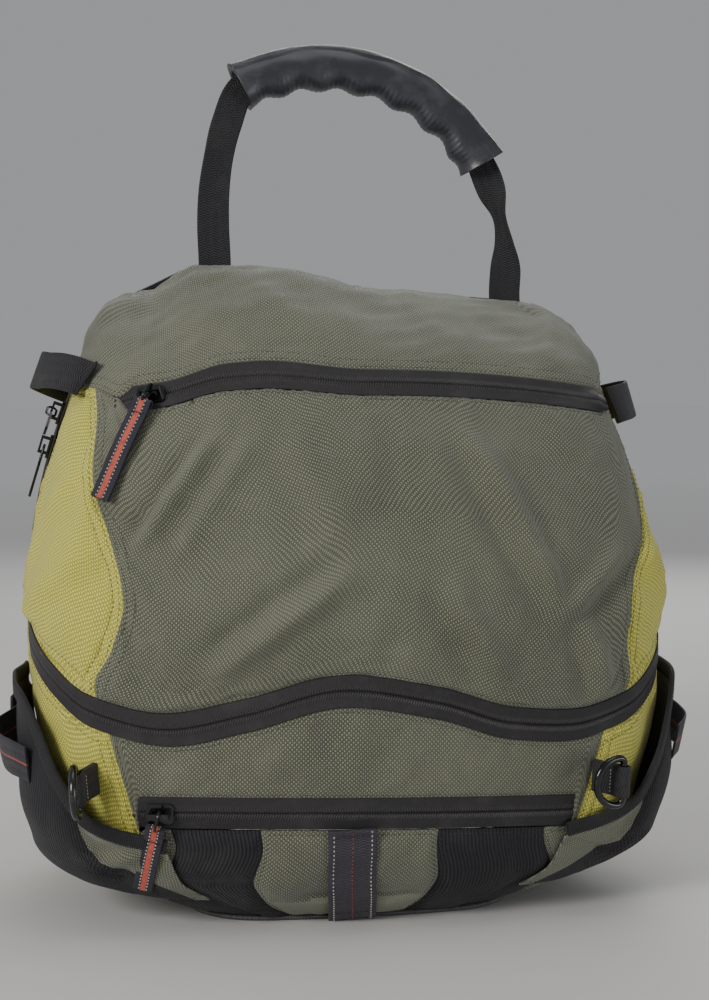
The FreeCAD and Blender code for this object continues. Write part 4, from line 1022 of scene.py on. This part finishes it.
# ---------------------------------------------------------------- zips
def zip_material():
    """Reverse coil tape: fine weave, with slanted coil ribs on both sides of the middle line; coil and thread crowns
    are painted paler and the middle groove and furrows darker, as painted highlight and shade.
    """
    s = Shader("zip_chain", 0.5, Sheen_Weight=0.05, Sheen_Roughness=0.4, Specular_IOR_Level=0.35)
    u, v = s.uv()
    width = s.math("ABSOLUTE", u)
    band = s.times(s.math("GREATER_THAN", width, 0.0006), s.math("LESS_THAN", width, 0.0036))
    coil = s.math("ABSOLUTE", s.math("SINE", s.times(s.add(v, s.times(width, 0.35)),
                                                   math.pi / 0.0016)))
    rows = s.ribs(v, 0.0009)
    cross = s.ribs(u, 0.0007)
    weave = s.add(s.times(rows, 0.25), s.times(cross, 0.2))
    height = s.add(s.times(band, coil),
                    s.times(s.math("SUBTRACT", 1.0, band), weave))
    groove = s.math("LESS_THAN", width, 0.0006)
    height = s.math("SUBTRACT", height, s.times(groove, 0.8))
    # painted highlight and shade from the coil relief, with the middle groove painted darkest, mixed with random tone
    relief_shade_and_tone = s.add(s.times(height, 0.6), s.times(s.noise(600.0, 3.0, 0.6), 0.4))
    colour = s.mix(s.ramp(relief_shade_and_tone, 0.1, 1.0), (0.006, 0.0055, 0.006), (0.052, 0.046, 0.050))
    rub = s.times(s.ramp(s.noise(45.0, 5.0, 0.65), 0.5, 0.8), 0.08)
    return s.finish(s.mix(rub, colour, (0.27, 0.26, 0.24)), height, 0.0006, 1.0)


CHAIN = zip_material()
CROSS = np.array([-9.9, -9.3, -8, -6.5, -5, -4, -3.5, -2.8, -1.8, -1, -0.6, 0,
                  0.6, 1, 1.8, 2.8, 3.5, 4, 5, 6.5, 8, 9.3, 9.9])
BUMP = np.interp(np.abs(CROSS), [0, 0.6, 1.0, 1.8, 3.0, 3.8, 5.0, 9.9], [-1.1, -0.9, 0.1, 0.35, 0.25, -0.1,
                                                                         -0.2, -0.3])


def zip_strip(name, p, body, replaces, cross=CROSS, thick=1.0):
    """A tape from a grid of points whose columns go across the chain."""
    n = grid_normals(p)
    back = p - n * thick
    rows, columns = p.shape[:2]
    s = lengths(p, 0)[:, columns // 2][:, None]
    uv = np.stack([np.broadcast_to(cross[None], (rows, columns)), np.broadcast_to(s, (rows, columns))],
                  -1) * MM
    return make_object(name, np.concatenate([p.reshape(-1, 3), back.reshape(-1, 3)]),
                       np.concatenate(slab_faces(rows, columns)), [CHAIN], body,
                       np.concatenate([uv.reshape(-1, 2)] * 2), None, replaces)


def make_arc_zip(name, line, ends, node):
    t = np.linspace(ends[0] - 0.05, ends[1] + 0.05, 260)[:, None]
    cross = CROSS[None, :]
    sink = 2.6 * np.clip(past_end(t, ends, 0.04), 0, 1)
    raised = hump(t) if line is FRONT else 0 * t
    chain = line.height(t) + raised
    degrees = line.angle(t[:, 0])
    tall = line.across[2]
    surface = off(t, chain + cross * tall, -0.35 - sink + 0 * cross)
    arc = line.at(np.broadcast_to(degrees[:, None], surface.shape[:2]), np.broadcast_to(cross,
                                                                                        surface.shape[:2]),
                  BUMP[None] * 0.6 - sink) + shell(t, chain) - shell(t, chain - raised)
    blend = smooth((np.abs(cross) - 3.5) / 6.0)[..., None]
    p = arc * (1 - blend) + surface * blend
    zip_strip(f"{name}_chain", p, "shell", (node,))
    return p


def make_zips():
    make_arc_zip("front_zip", FRONT, FRONT_ENDS, "front_zip_tape")
    make_arc_zip("lower_zip", LOWER, LOWER_ENDS, "lower_zip_tape")
    t = np.linspace(-0.999, 0.999, 420)[:, None]
    p = off(t, waist(t) + CROSS[None, :], np.broadcast_to(BUMP[None] * 0.7 - 0.1, (420, len(CROSS))))
    zip_strip("waist_zip_chain", p, "shell", ("waist_zip_tape",))
    edge = rear_edge(42.0, 420)
    flat = edge * vec(1, 0, 1)
    ahead = unit(np.gradient(flat, axis=0))
    out = np.cross(ahead, vec(0, 1, 0))
    out = out * np.sign(np.sum(out * (flat - vec(0, 0, 200)), -1, keepdims=True))
    for word, body, keep in (("shell", "shell", CROSS <= -0.6), ("panel", "back", CROSS >= 0.6)):
        cross = CROSS[keep] * (11.0 / 9.9)
        y = CHAIN_Y + cross
        p = flat[:, None] + vec(0, 1, 0) * y[None, :, None] + out[:, None] * (BUMP[keep] * 0.8 - 0.1)[None, :,
                                                                                                      None]
        if np.dot(np.cross(p[1, 0] - p[0, 0], p[0, 1] - p[0, 0]), out[0]) < 0:
            p, cross = p[:, ::-1], cross[::-1]
        zip_strip(f"main_zip_chain_{word}", p, body, (f"main_zip_tape_{word}",), cross)


def make_gusset():
    """The fabric hinge under the back panel, between the shell and the panel, made with a slight sag."""
    left = [rim(-1, np.array([41.0]))[0]] + [shell(-1.0, z) for z in (34, 27, 20, 14, 9, 5)]
    foot = [vec(x, REAR_Y, 1.0) for x in (-88, -50, 0, 50, 88)]
    line = np.array(left + foot + [q * vec(-1, 1, 1) for q in left[::-1]])
    flat = resample(line, 200) * vec(1, 0, 1)
    ahead = unit(np.gradient(flat, axis=0))
    out = unit(np.cross(vec(0, 1, 0), ahead))
    v = np.linspace(-0.4, 22.4, 22)
    sag = -1.6 * np.sin(math.pi * np.clip(v / 22, 0, 1)) - 0.3
    bend = 0.4 * waves(np.arange(200)[:, None] * 2.0, v[None], 22, 71) * np.sin(math.pi * np.clip(v / 22, 0,
                                                                                                  1))[None]
    p = flat[:, None] + vec(0, 1, 0) * (REAR_Y + v)[None, :, None] - out[:, None] * (sag + bend)[..., None]
    p[..., 2] = np.maximum(p[..., 2], 0.6)
    flip = np.dot(np.cross(p[1, 0] - p[0, 0], p[0, 1] - p[0, 0]), vec(p[0, 0, 0], 0, 0)) < 0
    made = fabric_object("hinge_cloth", p, 1.2, [BLACK], None, ("hinge_gusset",), None, flip)
    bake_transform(made)


# ---------------------------------------------------------------- back panel and its padding
def make_back():
    line = rear_edge(16.0, 320)[:, [0, 2]]
    foot = np.linspace(line[-1], line[0], 50)[1:-1]
    loop = resample(np.concatenate([line, foot, line[:1]]), 361)[:-1]

    def quilt(x, z, d):
        edge = smooth(d / 14)
        return (-1.2 + 1.2 * edge + 0.5 * waves(x, z, 70, 81) * edge
                - 0.8 * np.exp(-((np.abs(x) - 92) / 2.2) ** 2)
                * smooth((z - 40) / 20) * smooth((345 - z) / 20))

    plate("back_cloth", loop, PANEL_Y, PANEL_Y + PANEL_THICK, [OLIVE, LINING], "back",
          ("back_panel",),
          quilt, rings=60, round_edge=3.0)
    for name, x0, x1, z0, z1, r in (("back_pad_left", -74, -14, 118, 330, 22), ("back_pad_right", 14, 74, 118,
                                                                                330, 22),
                                    ("lumbar_pad", -112, 112, 50, 108, 24)):
        outline = rounded_box(x0, x1, z0, z1, r, 200)

        def pillow(x, z, d):
            return 1.0 * smooth(d / 20) - 1.0 * np.exp(-((d - 6) / 1.6) ** 2)

        if name == "lumbar_pad":
            made = lumbar(name, outline[:, ::-1], pillow)
        else:
            middle = ((x0 + x1) / 2, z0 + r, z1 - r)
            made = plate(f"{name}_mesh", outline, PANEL_Y + PANEL_THICK - 1.0, PANEL_Y + PANEL_THICK + 8.4,
                         [MESH, MESH], "back", (name,), pillow, middle, 24, 1, 4.5)


def lumbar(name, outline, pillow):
    """The lumbar pad lies across, so its middle line runs along X."""
    n, rings = len(outline), 24
    middle = np.stack([np.full(n, 79.0), np.clip(outline[:, 1], -84, 84)], -1)
    r = np.sin(np.linspace(0, math.pi / 2, rings))
    d = np.linalg.norm(outline - middle, axis=1)[:, None] * (1 - r)[None]
    flat = middle[:, None] + (outline - middle)[:, None] * r[None, :, None]
    soft = 4.5 * (1 - np.sqrt(np.clip(1 - (1 - np.clip(d / 9.0, 0, 1)) ** 2, 0, 1)))
    face = PANEL_Y + PANEL_THICK
    levels = np.concatenate([face + 8.4 - soft + pillow(0, 0, d), (face - 1.0 + soft * 0.2)[:, ::-1]], 1)
    plane = np.concatenate([flat, flat[:, ::-1]], 1)
    p = np.stack([plane[..., 1], levels, plane[..., 0]], -1)
    return make_object(f"{name}_mesh", p, grid_faces(n, 2 * rings, wrap_rows=True)[:, ::-1], [MESH], "back",
                       plane[..., ::-1].reshape(-1, 2) * MM, None, (name,))


def make_shoulder_straps():
    face = PANEL_Y + PANEL_THICK
    for side, word in ((-1, "left"), (1, "right")):
        path = [(40, face + 10.5, 372), (44, face + 15, 362), (52, face + 30, 338), (63, face + 44, 300),
                (76, face + 50, 255), (89, face + 48, 210), (99, face + 40, 172), (106, face + 31, 142)]
        path = np.array(path, float) * vec(side, 1, 1)
        normals = np.array([(0, 1, 0.9), (0, 1, 0.8)] + [(0, 1, 0)] * 6, float)
        wide = np.array([52, 58, 62, 64, 64, 60, 54, 44], float)
        dense, extra = along_path(path, np.column_stack([normals, wide]), 3.0)
        count = len(dense)
        swell = 9.0 + 0.25 * np.sin(np.arange(count) * 0.5)
        section = flat_section(count, extra[:, 3] - 2, swell, 44, 0.35)
        p, faces, uv, (across, n) = sweep(dense, extra[:, :3], section)
        made = make_object(f"shoulder_pad_{word}", p, faces, [BLACK], "back", uv, None,
                           (f"shoulder_strap_{word}",))
        mesh_section = flat_section(count, extra[:, 3] - 16, 2.0, 32, 0.35)
        p, faces, uv, _ = sweep(dense - n * 4.1, extra[:, :3], mesh_section)
        make_object(f"shoulder_mesh_{word}", p, faces, [MESH], "back", uv, None)
        for s in (-1, 1):
            edge = dense + across * (s * (extra[:, 3:] / 2 - 1.2))
            p, faces, uv, _ = sweep(edge, n, np.broadcast_to(oval(12, 1.7, 5.2), (count, 12, 2)))
            make_object(f"shoulder_binding_{word}_{'outer' if s > 0 else 'inner'}", p, faces, [BINDING],
                        "back", uv,
                        None)
            stitch("black", "back", dense + across * (s * (extra[:, 3:] / 2 - 5)) + n * 4.4, n)
        low, top = vec(side * 138, face + 1.6, 46), vec(side * 109, face + 27.5, 129)
        along = unit(low - top)
        seat = top + along * 4
        n = vec(0, 1, 0)
        n = unit(n - along * (n @ along))
        path = [dense[-1] + vec(0, -1, 4), dense[-1] + vec(0, -1.5, -6), seat - along * 4]
        ribbon(f"shoulder_tail_{word}", path, [n] * 3, WEB_WIDE, WEB, STRAP, "back")
        loop = [seat + along * q[0] + n * q[1] for q in ((50, 2.8), (34, 3.7), (22, 4.0), (13, 3.0), (10.2,
                                                                                                      2.7),
                                                        (8.9, 0.8), (9.4, -1.6), (12.5, -2.9), (21, -3.0), (30, -1.6))]
        points = loop + [low + vec(0, 4, 16), low + vec(0, 0.6, 0), low + vec(side * 3, 0.6, -12)]
        normals = [n, n, n, n, n * 0.6 - along * 0.8, -along, -along * 0.8 - n * 0.6, -n, -n, -n, -n, -n, -n]
        ribbon(f"shoulder_web_{word}", points, normals, THREADED_WIDE, THREADED, STRAP, "back",
               (f"shoulder_webbing_{word}",), step=1.2)
        anchor = [(dense[-1] + dense[-2]) / 2 + vec(0, 4.8, 0), seat - along * 6 + n * 1.9, seat + n * 2.4,
                  seat + along * 2.3, seat - n * 2.4, seat - along * 6 - n * 1.9, dense[-1] + vec(0, -4.4, 3)]
        ribbon(f"shoulder_loop_{word}", anchor, [n, n, n, along, -n, -n, -n], 25, 1.2, STRAP, "back",
               step=1.0)


# ---------------------------------------------------------------- side pockets
def make_pockets():
    for side, word in ((-1, "left"), (1, "right")):
        ends = (at(-POCKET_REAR), at(-POCKET_FRONT)) if side < 0 else (at(POCKET_FRONT), at(POCKET_REAR))
        t, z = patch_grid(*ends, at(POCKET_FOOT), mouth, 131, 70)
        share = (np.abs(t) - POCKET_FRONT) / (POCKET_REAR - POCKET_FRONT)
        rise = (z - POCKET_FOOT) / (mouth(t) - POCKET_FOOT)
        for _ in range(5):
            seam_t = 0.60 - 0.09 * (1 - smooth((z - 24) / 35))
            t = side * np.where(share < 0.5, POCKET_FRONT + (seam_t - POCKET_FRONT) * 2 * share,
                                seam_t + (POCKET_REAR - seam_t) * (2 * share - 1))
            z = POCKET_FOOT + (mouth(t) - POCKET_FOOT) * rise
        n, base = outward(t, z), shell(t, z)
        d = margin(base)
        y, h = base[..., 1], base[..., 2]
        front = 1 - smooth((np.abs(t) - 0.585) / 0.03)
        out = 3.1 + pocket_bulge(t, z) - 1.8 * (1 - smooth(d / 5)) * (np.abs(z - mouth(t)) > 5)
        rumple = fold(base[..., 0], h, (side * 128, 62), (side * 182, 34), 5, 3.4)
        rumple = rumple + fold(base[..., 0], h, (side * 140, 36), (side * 176, 70), 5, -2.4)
        out = out - 0.9 * np.exp(-((np.abs(t) - seam_t) / 0.006) ** 2)
        out = out + smooth(d / 9) * (front * (rumple - 2.6 + 0.9 * waves(base[..., 0], h, 24, 91 + side))
                                     + (1 - front) * 1.0 * waves(y, h, 60, 93 + side))
        p = base + n * np.maximum(out, 2.2)[..., None]
        ribbed = (share[:-1, :-1] + share[1:, :-1]) / 2 > 0.5
        fabric_object(f"pocket_cloth_{word}", p, POCKET_CLOTH, [OLIVE, RIBBED], "shell",
                      (f"side_pocket_{word}",), ribbed)
        edge_stitches("black", "shell", p, ("low",), ONE_ROW)
        line_t = np.linspace(POCKET_FRONT, POCKET_REAR, 140) * side
        rise = mouth(line_t)
        n = outward(line_t, rise)
        path = off(line_t, rise + 4.6, 2.6 + pocket_bulge(line_t, rise))
        p, faces, uv, (across, n) = sweep(path, n, np.broadcast_to(oval(18, 5.0, 1.7, 0.6, 0.7), (140, 18,
                                                                                                  2)))
        make_object(f"pocket_trim_{word}", p, faces, [BINDING], "shell", uv, None,
                    (f"pocket_binding_{word}",))
        foot = across * math.copysign(1, -across[70, 2])
        stitch("black", "shell", path + foot * 3.2 + n * 1.5, n)


# ---------------------------------------------------------------- webbing, rings and locks
def position_at(side, y, z):
    low, high = np.full(np.shape(y), 0.3), np.ones(np.shape(y))
    for _ in range(24):
        mid = (low + high) / 2
        front = shell(side * mid, z)[..., 1] < y
        low, high = np.where(front, mid, low), np.where(front, high, mid)
    return side * low


def side_arch(side, y0, y1, z0, z1, rise, stand=1.8, over=None, count=24):
    u = np.linspace(0, 1, count + 1)
    y, z = y0 + (y1 - y0) * u, z0 + (z1 - z0) * u
    t = position_at(side, y, z)
    n = outward(t, z)
    out = stand + (over(t, z - 14) if over else 0)
    return shell(t, z) + n * (out + rise * np.sin(math.pi * u) ** 0.8)[:, None], n


def make_side_straps():
    for side, word in ((-1, "left"), (1, "right")):
        drop = 18.0 if side > 0 else 0.0
        points, normals = side_arch(side, -28.0, 60.0, 338.0 - drop, 334.0 - drop, 24.0)
        ends = [points[0] - normals[0] * 0.2 + vec(0, -7, 1), points[-1] - normals[-1] * 0.6 + vec(0, 7, 0)]
        points = np.concatenate([[ends[0]], points, [ends[1]]])
        normals = np.concatenate([normals[:1], normals, normals[-1:]])
        ribbon(f"upper_web_{word}", points, normals, WEB_WIDE, WEB, STRAP, "shell",
               (f"upper_strap_{word}",))
        z = 118.0
        t = position_at(side, np.array(62.0), z)
        n = outward(t, z)
        seat = shell(t, z) + n * 6.0
        forward = vec(side * 0.10, -1, 0)
        forward = unit(unit(forward - n * (forward @ n)) + n * 0.15)
        up = vec(0, 0, 1) - forward * forward[2]
        out = unit(np.cross(up, forward)) * side * -1
        out = out * math.copysign(1, out @ n)
        points, normals = side_arch(side, 34.0, -66.0, z, 110.0, 7.0, 5.4, pocket_bulge)

        def local(x, y):
            return seat + forward * x + out * y

        head = [local(36, 5.2), local(26, 5.0), local(16, 4.0), local(12.8, 3.1), local(10.6, 2.7), local(9.0, 0.6),
                local(9.6, -1.7), local(12.6, -2.9), local(19, -3.1)]
        facing = [out, out, out, out, unit(out - forward * 0.6), -forward, unit(-out - forward * 0.6), -out,
                  -out]
        body = [points[k] for k in range(1, len(points), 2)]
        front = [points[-1] - normals[-1] * 5.0 + vec(0, -8, -3)]
        path = np.array(head + [points[0] * 0.55 + local(27, -2.6) * 0.45] + body + front)
        turn = np.array(facing + [-normals[0]] + [-normals[k] for k in range(1, len(points),
                                                                             2)] + [-normals[-1]])
        made = ribbon(f"lower_web_{word}", path, turn, THREADED_WIDE, THREADED, TRACER, None,
                      (f"lower_strap_{word}",),
                      step=1.2)
        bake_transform(made)
        loop = [local(-13, -0.4), local(-6, 1.4), local(0, 2.3), local(2.3, 0), local(0, -2.3), local(-6,
                                                                                                      -1.4),
                local(-13, -2.2)]
        ribbon(f"lower_loop_{word}", loop, [out, out, out, forward, -out, -out, -out], 24.5, 1.0, STRAP,
               "shell",
               (f"lower_lock_loop_{word}",), step=0.8)
        tack = np.array([local(-9, 2.0), local(-9, 2.0)]) + np.array([[-1], [1]]) * up * 9
        stitch("red", "shell", resample(tack, 20), np.broadcast_to(out, (20, 3)), 1.8, 0.75, 0.3, 0.1)


def make_rings():
    for word, (t, z, sideways, turn) in {"left": (-0.565, 99.0, 0.0, 28.0), "right": (0.505, 92.0, 0.6,
                                                                                      118.0)}.items():
        n = outward(t, z)
        bar = vec(0, 0, 1)
        bar = unit(bar - n * (bar @ n))
        reach = unit(n + vec(math.copysign(sideways, t), 0, 0))
        reach = unit(reach - bar * (reach @ bar))
        pivot = off(t, z, 4.5) + reach * 17.0
        side = np.cross(reach, bar)
        r = 2.65 + WEB / 2
        angle = np.radians(np.linspace(-118, 118, 15))
        curl = [pivot + reach * (r * math.cos(a)) + side * (r * math.sin(a)) for a in angle]
        out = [reach * math.cos(a) + side * math.sin(a) for a in angle]
        back = [pivot - reach * x + side * s * 0.95 for s in (-1, 1) for x in (21, 14, 8)]
        points = np.array(back[:3] + curl + back[3:][::-1])
        normals = np.array([-side] * 3 + out + [side] * 3)
        ribbon(f"ring_web_{word}", points, normals, 20, WEB, STRAP, "shell",
               (f"d_ring_tab_{word}",),
               step=0.9)
        for s in (-1, 1):
            line = np.array([pivot - reach * 8 + side * s * 1.9 + bar * q for q in (-8.5, 8.5)])
            stitch("white", "shell", resample(line, 14), np.broadcast_to(side * s, (14, 3)), 2.2, 0.7, 0.28,
                   0.05)


def make_front_strap():
    low, high = 5.0, float(LOWER.height(np.array(-0.05))) - lower_room(np.array(-0.05)) + 1.0
    z = np.linspace(low, high, 46)
    t = np.full(46, -0.051)
    swell = 3.0 + 0.7 * np.sin(z / 9.0) + 0.5 * np.sin(z / 3.7)
    path, n = off(t, z, swell), outward(t, z)
    section = flat_section(46, 30.0, 2.0, 36, 0.2)
    p, faces, uv, (across, n) = sweep(path, n, section)
    make_object("boot_strap_web", p, faces, [PULL_WIDE], "shell", uv, None, ("front_strap",))
    for s in (-1, 1):
        stitch("white", "shell", path + across * s * 11.6 + n * 1.0, n, 3.0, 0.55, 0.45, 0.05)
    stitch("red", "shell", path + n * 1.0, n, 3.0, 0.5, 0.42, 0.05)
    for q in (43, 42, 5):
        line = path[q] + across[q] * np.linspace(-11, 11, 30)[:, None] + n[q] * 1.0
        stitch("black", "shell", line, np.broadcast_to(n[q], (30, 3)), 1.9, 0.75, 0.4, 0.1)


PULL_WIDE = webbing_material("webbing_boot_strap", (0.066, 0.060, 0.078), (0.006, 0.005, 0.008), 0.0018)


def make_pull(name, node, line, end_t, end_z, length, body, bend):
    """A webbing pull, folded round the far end of its wire loop and sewn together below it."""
    pivot = line.a + line.normal * 6.95
    hang = unit(off(end_t, end_z, 7.5) - pivot)
    out = unit(line.normal - hang * (line.normal @ hang))
    side = np.cross(hang, out)
    eye = pivot + hang * 9.4
    r = 1.9
    s = np.linspace(length - 1, 14, 18)
    sway = np.array([bend * math.sin((q - 10) / (length - 10) * math.pi * 1.6) * (q - 10) / length for q in s])
    front = [pivot + hang * q + out * (0.75 + w) for q, w in zip(s, sway)]
    rear = [pivot + hang * q + out * (-0.75 + w) for q, w in zip(s[::-1], sway[::-1])]
    angle = np.radians(np.linspace(-30, 210, 9))
    curl = [eye + out * (r * math.cos(a)) - hang * (r * math.sin(a)) for a in angle]
    turn = [out * math.cos(a) - hang * math.sin(a) for a in angle]
    points = np.array(front + curl + rear)
    normals = np.array([out] * len(front) + turn + [-out] * len(rear))
    ribbon(f"{name}_web", points, normals, 12.0, 1.3, PULL, body, (node,),
           (("white", 0.40), ("white", -0.40)), step=1.0)
    mid = pivot + hang * 17 + out * (1.6 + np.interp(17, s[::-1], sway[::-1]))
    bar = mid + side * np.linspace(-4.5, 4.5, 16)[:, None]
    stitch("black", body, bar, np.broadcast_to(out, (16, 3)), 1.4, 0.8, 0.4, 0.2)


# ---------------------------------------------------------------- carry handle
def on_grip(degrees, radius=GRIP_ARC):
    a = np.radians(degrees)
    return GRIP_CENTRE + np.stack([np.cos(a), np.zeros_like(a), np.sin(a)], -1) * np.asarray(radius)[...,
                                                                                                     None]


def make_handle():
    roots = [r + vec(0, 0, 400 + float(lift(r[0], 400.0)) + 3.4) for r in HANDLE_ROOTS]
    start, end = GRIP_ENDS
    strands = (("left", roots[0], on_grip(np.array(start + 1.0)), -7.0, [22, 22, 22, 21.5, 20.5, 21]),
               ("right", roots[1], on_grip(np.array(end - 1.0)), 7.0, [22, 22, 21, 15, 13, 20]))
    for word, root, top, bow, wide in strands:
        inward = 1 if word == "right" else -1
        angle = (end if word == "right" else start) + inward * np.array([2.0, 7.0, 12.0])
        u = np.array([-0.09, 0, 0.2, 0.4, 0.6, 0.8])
        bowed = bow * np.sin(math.pi * np.clip(u, 0, 1))
        points = root + (top - root) * u[:, None] + vec(1, 0, 0) * bowed[:, None]
        points[0] = root + vec(0, -1.5, -11)
        points = np.concatenate([points, on_grip(angle)])
        twist = np.array([0, 0, -12, -46, -64, -30, -5, 0, 0] if word == "right" else [0, 0, 4, 8, 10, 6, 0,
                                                                                       0, 0])
        along = unit(np.gradient(points, axis=0))
        normals = turned(np.broadcast_to(vec(0, -1, 0), points.shape), along, twist)
        wide = np.array(wide[:6] + [19, 17, 15], float)
        made = ribbon(f"handle_web_{word}", points, normals, wide, 2.2, STRAP, None,
                      ("handle_webbing",), cup=0.9)
        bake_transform(made)
    degrees = np.linspace(start - 0.5, end + 0.5, 90)
    path = on_grip(degrees)[2:-2:6]
    ribbon("handle_web_grip", path, np.broadcast_to(vec(0, -1, 0), path.shape), 14, 2.0, STRAP, "handle")
    make_grip(start, end)


def make_grip(start, end):
    """The moulded sleeve: finger scallops beneath, flared ends and a flap that laps over along its top."""
    rows, columns = 260, 96
    s = np.linspace(0, 1, rows)[:, None]
    angle = np.linspace(0, math.tau, columns, endpoint=False)[None, :]
    degrees = start + (end - start) * s
    arc = math.radians(start - end) * GRIP_ARC
    from_end = np.minimum(s, 1 - s) * arc
    up, front = np.cos(angle), -np.sin(angle)
    under = np.clip(-up, 0, 1) ** 1.2
    scallop = 1.9 * np.cos(s * math.tau * 6.5 + 0.6) * under * smooth(from_end / 18)
    ridge = 0.35 * np.abs(np.sin(s * math.pi * 52)) * smooth((under - 0.25) / 0.3) * smooth(from_end / 16)
    flare = 2.3 * np.exp(-from_end / 6.0)
    round_from_top = np.where(angle > math.pi, angle - math.tau, angle)
    lap = 0.72 + 0.10 * np.sin(s * 17) + 0.05 * np.sin(s * 43 + 1) - round_from_top
    flap = 1.4 * smooth(lap / 0.10) * smooth((round_from_top + 1.3) / 1.0)
    lip = 0.3 * np.exp(-(((lap - 0.10) / 0.07) ** 2))
    outer = 13.6 + scallop + ridge + flare + flap + lip + 0.25 * waves(s * arc, angle * 14, 26, 101)
    inner = np.full((rows, columns), 10.4) + flare * 0.9
    oval = 1 + 0.05 * np.abs(up)

    def skin(radius):
        a = np.radians(degrees)
        out = np.stack([np.cos(a), np.zeros_like(a), np.sin(a)], -1)
        centre = GRIP_CENTRE + out * GRIP_ARC
        return centre + out * (radius * up * oval)[..., None] + vec(0, 1, 0) * (radius * front)[..., None]

    a, b = skin(outer), skin(inner)
    p = np.concatenate([a, b[::-1]])
    uv = np.stack([np.broadcast_to(s * arc, (rows, columns)), np.broadcast_to(angle * 14, (rows, columns))],
                  -1) * MM
    faces = grid_faces(2 * rows, columns, wrap_rows=True, wrap_columns=True)
    make_object("grip_sleeve", p, faces, [RUBBER], "handle", np.concatenate([uv, uv[::-1]]), None,
                ("handle_grip",))


# ---------------------------------------------------------------- build
make_front_panel()
make_lower_band()
make_sides()
make_yoke()
make_boot()
make_zips()
make_gusset()
make_back()
make_shoulder_straps()
make_pockets()
make_side_straps()
make_rings()
make_front_strap()
make_pull("front_pull", "front_zip_pull_tab", FRONT, -0.53, 258.0, 76.0, "front_pull", 2.0)
make_pull("lower_pull", "lower_zip_pull_tab", LOWER, -0.56, 30.0, 56.0, "lower_pull", 2.5)
make_handle()
build_stitches()

for name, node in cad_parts.items():
    if not node.hide_render:
        node.data.materials.clear()
        node.data.materials.append(PLASTIC if "lock" in name else GLOSS)
        node.data.polygons.foreach_set("use_smooth", np.ones(len(node.data.polygons), bool))

# ---------------------------------------------------------------- floor, light and camera
FLOOR_HALF = 15000
corners = [(x * FLOOR_HALF, y * FLOOR_HALF, 0) for x, y in ((-1, -1), (1, -1), (1, 1), (-1, 1))]
floor = make_object("floor", corners, [(0, 1, 2, 3)], [], None)
ground = Shader("floor", 0.75)
place = ground.node("TexCoord").outputs["Object"]
reach = ground.node("VectorMath", operation="LENGTH")
ground.tree.links.new(place, reach.inputs[0])
pale = ground.mix(ground.noise(6.0, 3.0), (0.60, 0.59, 0.57), (0.66, 0.65, 0.63))
far = ground.ramp(reach.outputs["Value"], 1.0, 5.0)
floor.data.materials.append(ground.finish(ground.mix(far, pale, (0.97, 0.97, 0.97))))

world = bpy.data.worlds.new("studio")
world.use_nodes = True
world.node_tree.nodes["Background"].inputs["Color"].default_value = (0.84, 0.85, 0.87, 1)
world.node_tree.nodes["Background"].inputs["Strength"].default_value = 0.40
bpy.context.scene.world = world


def light(name, place, aim, size, power, colour):
    data = bpy.data.lights.new(name, "AREA")
    data.shape, data.size, data.size_y, data.energy, data.color = "RECTANGLE", size[0], size[1], power, colour
    made = bpy.data.objects.new(name, data)
    bpy.context.scene.collection.objects.link(made)
    made.location = place
    made.rotation_mode = "QUATERNION"
    made.rotation_quaternion = (Vector(aim) - Vector(place)).to_track_quat("-Z", "Y")


light("key", (-1.5, -1.25, 0.95), (0, 0, 0.22), (0.7, 0.7), 29, (1.0, 0.985, 0.96))
light("top", (0.2, -0.2, 1.9), (0, 0, 0.3), (1.2, 1.0), 6, (1.0, 1.0, 1.0))
light("fill", (1.4, -1.2, 0.25), (0, 0, 0.15), (1.0, 0.5), 7, (0.93, 0.96, 1.0))
light("rear", (0.6, 1.6, 1.2), (0, 0, 0.25), (1.3, 1.3), 12, (1.0, 1.0, 1.0))

camera = bpy.data.objects.new("camera", bpy.data.cameras.new("camera"))
bpy.context.scene.collection.objects.link(camera)
azimuth, elevation, distance, target = math.radians(-10), math.radians(4), 1.25, Vector((0.008, -0.010,
                                                                                         0.259))
back = Vector((math.sin(azimuth) * math.cos(elevation), -math.cos(azimuth) * math.cos(elevation),
               math.sin(elevation)))
camera.location = target + back * distance
camera.rotation_mode = "QUATERNION"
camera.rotation_quaternion = (-back).to_track_quat("-Z", "Y")
camera.data.lens, camera.data.sensor_width = 68.2, 36.0
camera.data.clip_start, camera.data.clip_end = 0.05, 60
bpy.context.scene.camera = camera
